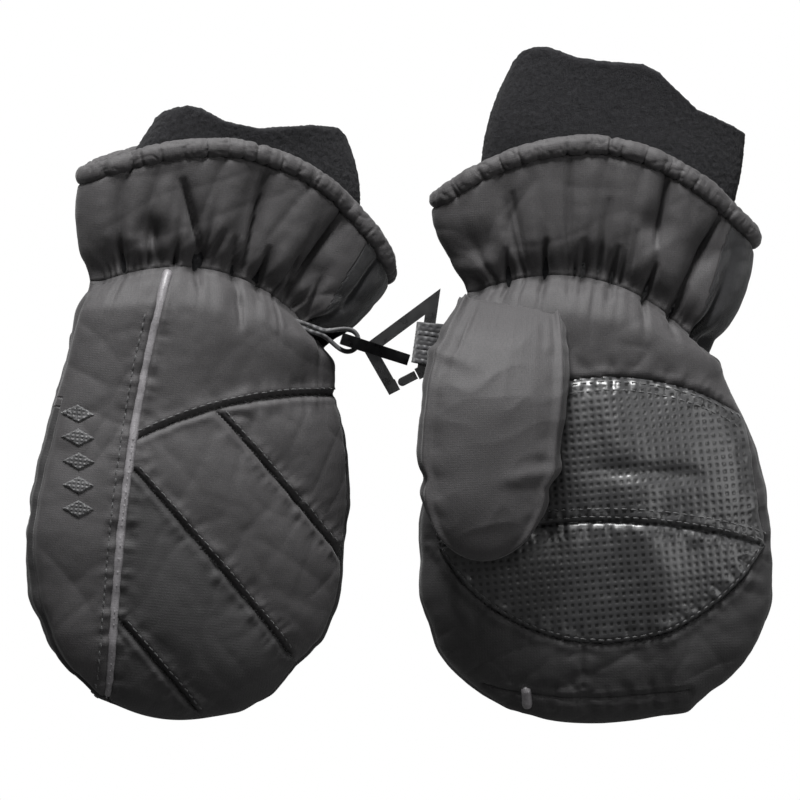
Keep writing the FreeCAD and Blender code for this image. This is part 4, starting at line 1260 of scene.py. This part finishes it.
# %% Rounded hooks and gates
for side in HOOKS:
    for name, width in (("_hook_frame", 0.7), ("_hook_gate", 0.4)):
        node = frame["nodes"][side + name]
        bevel = node.modifiers.new("rounded", "BEVEL")
        bevel.width = width * MM
        bevel.segments = 3
        bevel.limit_method = "ANGLE"
        pieces[side + name] = node

# %% [markdown]
# ## Slots
# Each piece's finish is picked by the slot that it stands for. Cloth panels are shell nylon unless they are
# named here. Small pieces go by a word in their name.

# %% Slots and finishes that differ from the panel's own
NODE_SLOTS = {"hand_insulation": "wadding", "hand_lining": "tricot_lining", "thumb_insulation": "wadding",
              "thumb_lining": "tricot_lining", "fleece_cuff": "knitted_fleece", "wrist_elastic": "elastic",
              "hem_elastic": "elastic", "webbing_loop": "webbing", "hook_frame": "hook_plastic",
              "hook_gate": "hook_plastic", "palm_patch_upper": "embossed_leather",
              "palm_patch_lower": "embossed_leather", "gauntlet_gusset": "velvet_gusset"}
# Panels that take the darker copy of the shell cloth, as painted shade.
SHADED_LOWER_CLOTH = ("lower_back_panel", "tip_back_panel", "palm_gusset")
SMALL_PIECES = {"leather": ("embossed_leather", "embossed_leather"),
                "piping": ("reflective_piping", "reflective_piping"),
                "white": ("reflective_piping", "glint_white_thread"), "lozenge": ("shell_nylon", "satin_thread")}

# %% [markdown]
# ## Materials
# Every finish is built from shader nodes. Weave, grain and nap repeat at sizes given in
# millimetres on the cloth's own coordinates, so they stay put when a piece moves.

# %% Helpers for shader nodes
def srgb(code):
    """A hex colour as the linear values that shaders use."""
    values = [int(code[k:k + 2], 16) / 255 for k in (1, 3, 5)]
    return tuple(v / 12.92 if v <= 0.04045 else ((v + 0.055) / 1.055) ** 2.4 for v in values) + (1.0,)


def add(tree, kind, **settings):
    """Add one shader node: an output given as a value is linked, the rest sets a socket or a property."""
    node = tree.nodes.new("ShaderNode" + kind)
    for key, value in settings.items():
        if hasattr(node, key) and key not in ("inputs", "color"):
            setattr(node, key, value)
            continue
        name = key.replace("_", " ")
        socket = node.inputs[int(key[1:])] if key[0] == "i" and key[1:].isdigit() else node.inputs[name]
        if isinstance(value, bpy.types.NodeSocket):
            tree.links.new(value, socket)
        else:
            socket.default_value = value
    return node


def surface(name, colour, roughness, **extra):
    """A material with a principled surface; returns the material, its node tree and the principled node."""
    material = bpy.data.materials.new(name)
    material.use_nodes = True
    tree = material.node_tree
    shader = tree.nodes["Principled BSDF"]
    shader.inputs["Base Color"].default_value = srgb(colour)
    shader.inputs["Roughness"].default_value = roughness
    for key, value in extra.items():
        shader.inputs[key.replace("_", " ")].default_value = value
    return material, tree, shader


def tint(tree, shader, field, low, high):
    """Colour between two tones by a field from 0 to 1."""
    mix = add(tree, "Mix", data_type="RGBA", i0=field, i6=srgb(low), i7=srgb(high))
    tree.links.new(mix.outputs[2], shader.inputs["Base Color"])


def relief(tree, shader, height, distance, strength=1.0):
    """Fine relief as a bump, its depth in millimetres."""
    node = add(tree, "Bump", Height=height, Distance=distance * MM, Strength=strength)
    tree.links.new(node.outputs["Normal"], shader.inputs["Normal"])


def weave_height(tree, where, pitch):
    """Plain weave: the product of two sine ridges, one for the warp and one for the weft, as a height."""
    scale = 0.157 / (pitch * MM)
    ridges = [add(tree, "TexWave", wave_type="BANDS", bands_direction=way, Vector=where, Scale=scale)
              for way in ("X", "Y")]
    both = add(tree, "Math", operation="MULTIPLY", i0=ridges[0].outputs["Fac"], i1=ridges[1].outputs["Fac"])
    return both.outputs[0]


def cloth_finish(name, low, high, roughness, pitch, depth, sheen, grain):
    """Woven cloth: plain weave, slub noise that varies both tone and height, and a soft sheen."""
    material, tree, shader = surface(name, high, roughness, Sheen_Weight=sheen, Sheen_Roughness=0.4)
    coords = add(tree, "TexCoord")
    uv = add(tree, "UVMap", uv_map="cloth").outputs["UV"]
    weave = weave_height(tree, uv, pitch)
    slub = add(tree, "TexNoise", Vector=coords.outputs["Object"], Scale=1 / (grain * MM), Detail=4.0,
               Roughness=0.7)
    tone = add(tree, "MapRange", Value=slub.outputs["Fac"], i1=0.32, i2=0.68, i3=0.0, i4=1.0)
    tint(tree, shader, tone.outputs[0], low, high)
    height = add(tree, "Math", operation="MULTIPLY_ADD", i0=slub.outputs["Fac"], i1=4.0, i2=weave)
    relief(tree, shader, height.outputs[0], depth)
    return material


def leather_finish(name, low, high):
    """Coated leather: a pebble of small cells under a glossy skin, with painted shade in the stamp's dimples.
    """
    material, tree, shader = surface(name, high, 0.33, Coat_Weight=0.12, Coat_Roughness=0.3)
    coords = add(tree, "TexCoord").outputs["Object"]
    pebble = add(tree, "TexVoronoi", feature="SMOOTH_F1", Vector=coords, Scale=1 / (0.7 * MM))
    cloud = add(tree, "TexNoise", Vector=coords, Scale=1 / (6 * MM), Detail=5.0, Roughness=0.65)
    plan = add(tree, "SeparateXYZ", Vector=add(tree, "UVMap", uv_map="cloth").outputs["UV"])
    sides = []
    for first, second, slant in (("X", "Y", STAMP_SLANT), ("Y", "X", -STAMP_SLANT)):
        place = add(tree, "Math", operation="MULTIPLY_ADD", i0=plan.outputs[second], i1=slant,
                    i2=plan.outputs[first])
        sides.append(add(tree, "Math", operation="PINGPONG", i0=place.outputs[0], i1=DIMPLE_PITCH * MM / 2))
    reach = add(tree, "Math", operation="MAXIMUM", i0=sides[0].outputs[0], i1=sides[1].outputs[0])
    # Painted shade: the tone falls to the darkest colour inside each dimple.
    flat = add(tree, "MapRange", Value=reach.outputs[0], i1=DIMPLE * 0.7 * MM, i2=DIMPLE * MM, i3=0.0, i4=1.0)
    tone = add(tree, "Math", operation="MULTIPLY_ADD", i0=cloud.outputs["Fac"], i1=0.4, i2=0.45)
    shade = add(tree, "Math", operation="MULTIPLY", i0=tone.outputs[0], i1=flat.outputs[0])
    tint(tree, shader, shade.outputs[0], low, high)
    rough = add(tree, "MapRange", Value=cloud.outputs["Fac"], i1=0.3, i2=0.7, i3=0.36, i4=0.44)
    tree.links.new(rough.outputs[0], shader.inputs["Roughness"])
    relief(tree, shader, pebble.outputs["Distance"], 0.035, 0.5)
    return material


def nap_finish(name, low, high, scale, depth, sheen):
    """Brushed pile: clumps of fibre as noise in two scales, with little gloss and a soft sheen."""
    material, tree, shader = surface(name, high, 0.95, Sheen_Weight=sheen, Sheen_Roughness=0.5,
                                     Specular_IOR_Level=0.12)
    coords = add(tree, "TexCoord").outputs["Object"]
    clumps = add(tree, "TexNoise", Vector=coords, Scale=1 / (scale * MM), Detail=6.0, Roughness=0.75,
                 Distortion=0.6)
    fibres = add(tree, "TexNoise", Vector=coords, Scale=1 / (scale * 0.2 * MM), Detail=3.0, Roughness=0.8)
    both = add(tree, "Math", operation="MULTIPLY_ADD", i0=fibres.outputs["Fac"], i1=0.5,
               i2=clumps.outputs["Fac"])
    tone = add(tree, "MapRange", Value=both.outputs[0], i1=0.5, i2=1.0, i3=0.0, i4=1.0)
    tint(tree, shader, tone.outputs[0], low, high)
    relief(tree, shader, both.outputs[0], depth)
    return material


def plastic_finish(name, low, high):
    """Moulded acetal: smooth, with a faint ripple and worn patches in its gloss."""
    material, tree, shader = surface(name, high, 0.3, Coat_Weight=0.3, Coat_Roughness=0.15)
    coords = add(tree, "TexCoord").outputs["Object"]
    cloud = add(tree, "TexNoise", Vector=coords, Scale=1 / (3 * MM), Detail=4.0, Roughness=0.6)
    tint(tree, shader, cloud.outputs["Fac"], low, high)
    rough = add(tree, "MapRange", Value=cloud.outputs["Fac"], i1=0.3, i2=0.7, i3=0.22, i4=0.42)
    tree.links.new(rough.outputs[0], shader.inputs["Roughness"])
    relief(tree, shader, cloud.outputs["Fac"], 0.08, 0.5)
    return material


def thread_finish(name, low, high, pitch):
    """Ribbed or twisted yarn: fine bands along the strip with a slight sheen."""
    material, tree, shader = surface(name, high, 0.6, Sheen_Weight=0.3)
    uv = add(tree, "UVMap", uv_map="cloth").outputs["UV"]
    coords = add(tree, "TexCoord").outputs["Object"]
    weave = weave_height(tree, uv, pitch)
    cloud = add(tree, "TexNoise", Vector=coords, Scale=1 / (1.2 * MM), Detail=4.0, Roughness=0.7)
    tone = add(tree, "Math", operation="MULTIPLY", i0=weave, i1=cloud.outputs["Fac"])
    spread = add(tree, "MapRange", Value=tone.outputs[0], i1=0.1, i2=0.5, i3=0.0, i4=1.0)
    tint(tree, shader, spread.outputs[0], low, high)
    relief(tree, shader, weave, 0.25)
    return material


# %% [markdown]
# ## The finishes
# Each entry is a finish of these mittens, with its darker and its lighter tone.

# %% The finishes
finishes = {
    "shell_nylon": cloth_finish("taslan_nylon_woven", "#191819", "#2e2c2d", 0.75, 0.36, 0.025, 0.06, 0.45),
    # painted shade: the shell cloth made darker, for the panels towards the fingertips
    "shell_painted_shade": cloth_finish("nylon_woven_painted_shade", "#0f0e0f", "#1b1a1b", 0.75, 0.45, 0.03, 0.04, 0.5),
    "embossed_leather": leather_finish("goatskin_embossed_coated", "#050505", "#303031"),
    "velvet_gusset": nap_finish("velveteen_napped", "#0c0c0d", "#1d1d1f", 0.9, 0.3, 0.35),
    "knitted_fleece": nap_finish("polyester_fleece_brushed", "#060607", "#262628", 1.1, 0.7, 0.02),
    "reflective_piping": cloth_finish("glass_bead_tape_folded", "#525052", "#676567", 0.5, 0.4, 0.03, 0.0,
                                      1.2),
    # painted highlight: white thread for the glints of the webbing's tack stitches
    "glint_white_thread": thread_finish("polyester_thread_painted_glint", "#a9a9ab", "#e6e6e8", 0.5),
    "grey_thread": thread_finish("nylon_thread_twisted", "#161617", "#2e2d2f", 0.5),
    "satin_thread": thread_finish("rayon_thread_satin_stitched", "#1b1b1c", "#343335", 0.6),
    "elastic": thread_finish("rubber_core_elastic_braided", "#1c1c1e", "#333335", 1.0),
    "webbing": thread_finish("nylon_webbing_woven", "#1a1a1c", "#2e2e31", 1.1),
    "hook_plastic": plastic_finish("acetal_moulded", "#060607", "#0e0e0f"),
    "wadding": nap_finish("polyester_wadding_carded", "#c9c7c2", "#e9e8e4", 2.4, 0.8, 0.2),
    "tricot_lining": cloth_finish("polyester_tricot_knitted", "#1d1d20", "#2d2d31", 0.8, 0.7, 0.15, 0.3, 1.4),
}


def dress(piece, slot, finish):
    """Give a piece its finish. The slot argument is not used."""
    piece.data.materials.clear()
    piece.data.materials.append(finishes[finish])


# %% [markdown]
# ## Dressing
# The lower panels get a darker copy of the shell cloth: painted shade, darker towards the fingertips, away
# from the light.

# %% Dress the pieces
for node, piece in pieces.items():
    part = node.split("_", 1)[1]
    slot = NODE_SLOTS.get(part, "shell_nylon")
    dress(piece, slot, "shell_painted_shade" if part in SHADED_LOWER_CLOTH else slot)
for piece, name in extras:
    kinds = [word for word in SMALL_PIECES if word in name]
    dress(piece, *(SMALL_PIECES[kinds[0]] if kinds else ("shell_nylon", "grey_thread")))

# %% [markdown]
# ## Floor and sky
# The mittens lie on a pale floor. The camera sees it as plain white.

# %% Floor and sky
def stage_plane(name, size, height):
    """A plain square floor."""
    half = size / 2
    corners = np.array([[x * half, y * half, height] for x, y in ((-1, -1), (1, -1), (1, 1), (-1, 1))])
    plane = make_mesh(name, corners / MM, np.array([[0, 1, 2, 3]]))
    return plane


floor = stage_plane("floor_stage", 6.0, -0.0008)
floor_paint = bpy.data.materials.new("paper_floor_matt")
floor_paint.use_nodes = True
paint = floor_paint.node_tree
paint_shader = paint.nodes["Principled BSDF"]
paint_shader.inputs["Base Color"].default_value = (0.35, 0.35, 0.35, 1)
paint_shader.inputs["Roughness"].default_value = 0.9
seen = add(paint, "LightPath")
glow = add(paint, "Emission", Color=(1, 1, 1, 1), Strength=1.0)
swap = add(paint, "MixShader", Fac=seen.outputs["Is Camera Ray"], i1=paint_shader.outputs[0],
           i2=glow.outputs[0])
paint.links.new(swap.outputs[0], paint.nodes["Material Output"].inputs["Surface"])
floor.data.materials.append(floor_paint)

world = bpy.data.worlds.new("soft_room")
bpy.context.scene.world = world
world.use_nodes = True
sky = world.node_tree
plain_sky = sky.nodes["Background"]
plain_sky.inputs["Color"].default_value = (1, 1, 1, 1)
plain_sky.inputs["Strength"].default_value = 0.16

# %% [markdown]
# ## Lights
# A strong light past the cuffs shapes the folds. Two weak ones fill the shadows.

# %% Lights
def soft_light(name, place, aim, size, power):
    """A square area light pointed at a place, all in metres and watts."""
    light = bpy.data.lights.new(name, "AREA")
    light.size = size
    light.energy = power
    lamp = bpy.data.objects.new(name, light)
    lamp.location = place
    bpy.context.scene.collection.objects.link(lamp)
    lamp.rotation_euler = (Vector(aim) - Vector(place)).to_track_quat("-Z", "Y").to_euler()
    return lamp


soft_light("key_light", (-0.10, 1.08, 0.54), (0, 0, 0), 0.4, 50)
soft_light("fill_light", (0.95, 0.1, 0.7), (0, 0, 0), 0.6, 5)
soft_light("top_light", (-0.12, 0.4, 1.2), (0, 0, 0), 0.35, 2.5)

# %% [markdown]
# ## Camera
# The lens is so long that the mittens' near and far sides show at nearly the same size.

# %% Camera
FRAME_WIDTH = 0.256
CAMERA_HEIGHT = 1.6
SENSOR = 36
camera_data = bpy.data.cameras.new("overhead")
camera_data.sensor_width = SENSOR
camera_data.lens = SENSOR * (CAMERA_HEIGHT - 0.02) / FRAME_WIDTH
camera = bpy.data.objects.new("overhead", camera_data)
camera.location = (-0.0005, -0.0034, CAMERA_HEIGHT)
bpy.context.scene.collection.objects.link(camera)
bpy.context.scene.camera = camera
bpy.context.scene.view_settings.view_transform = "Standard"
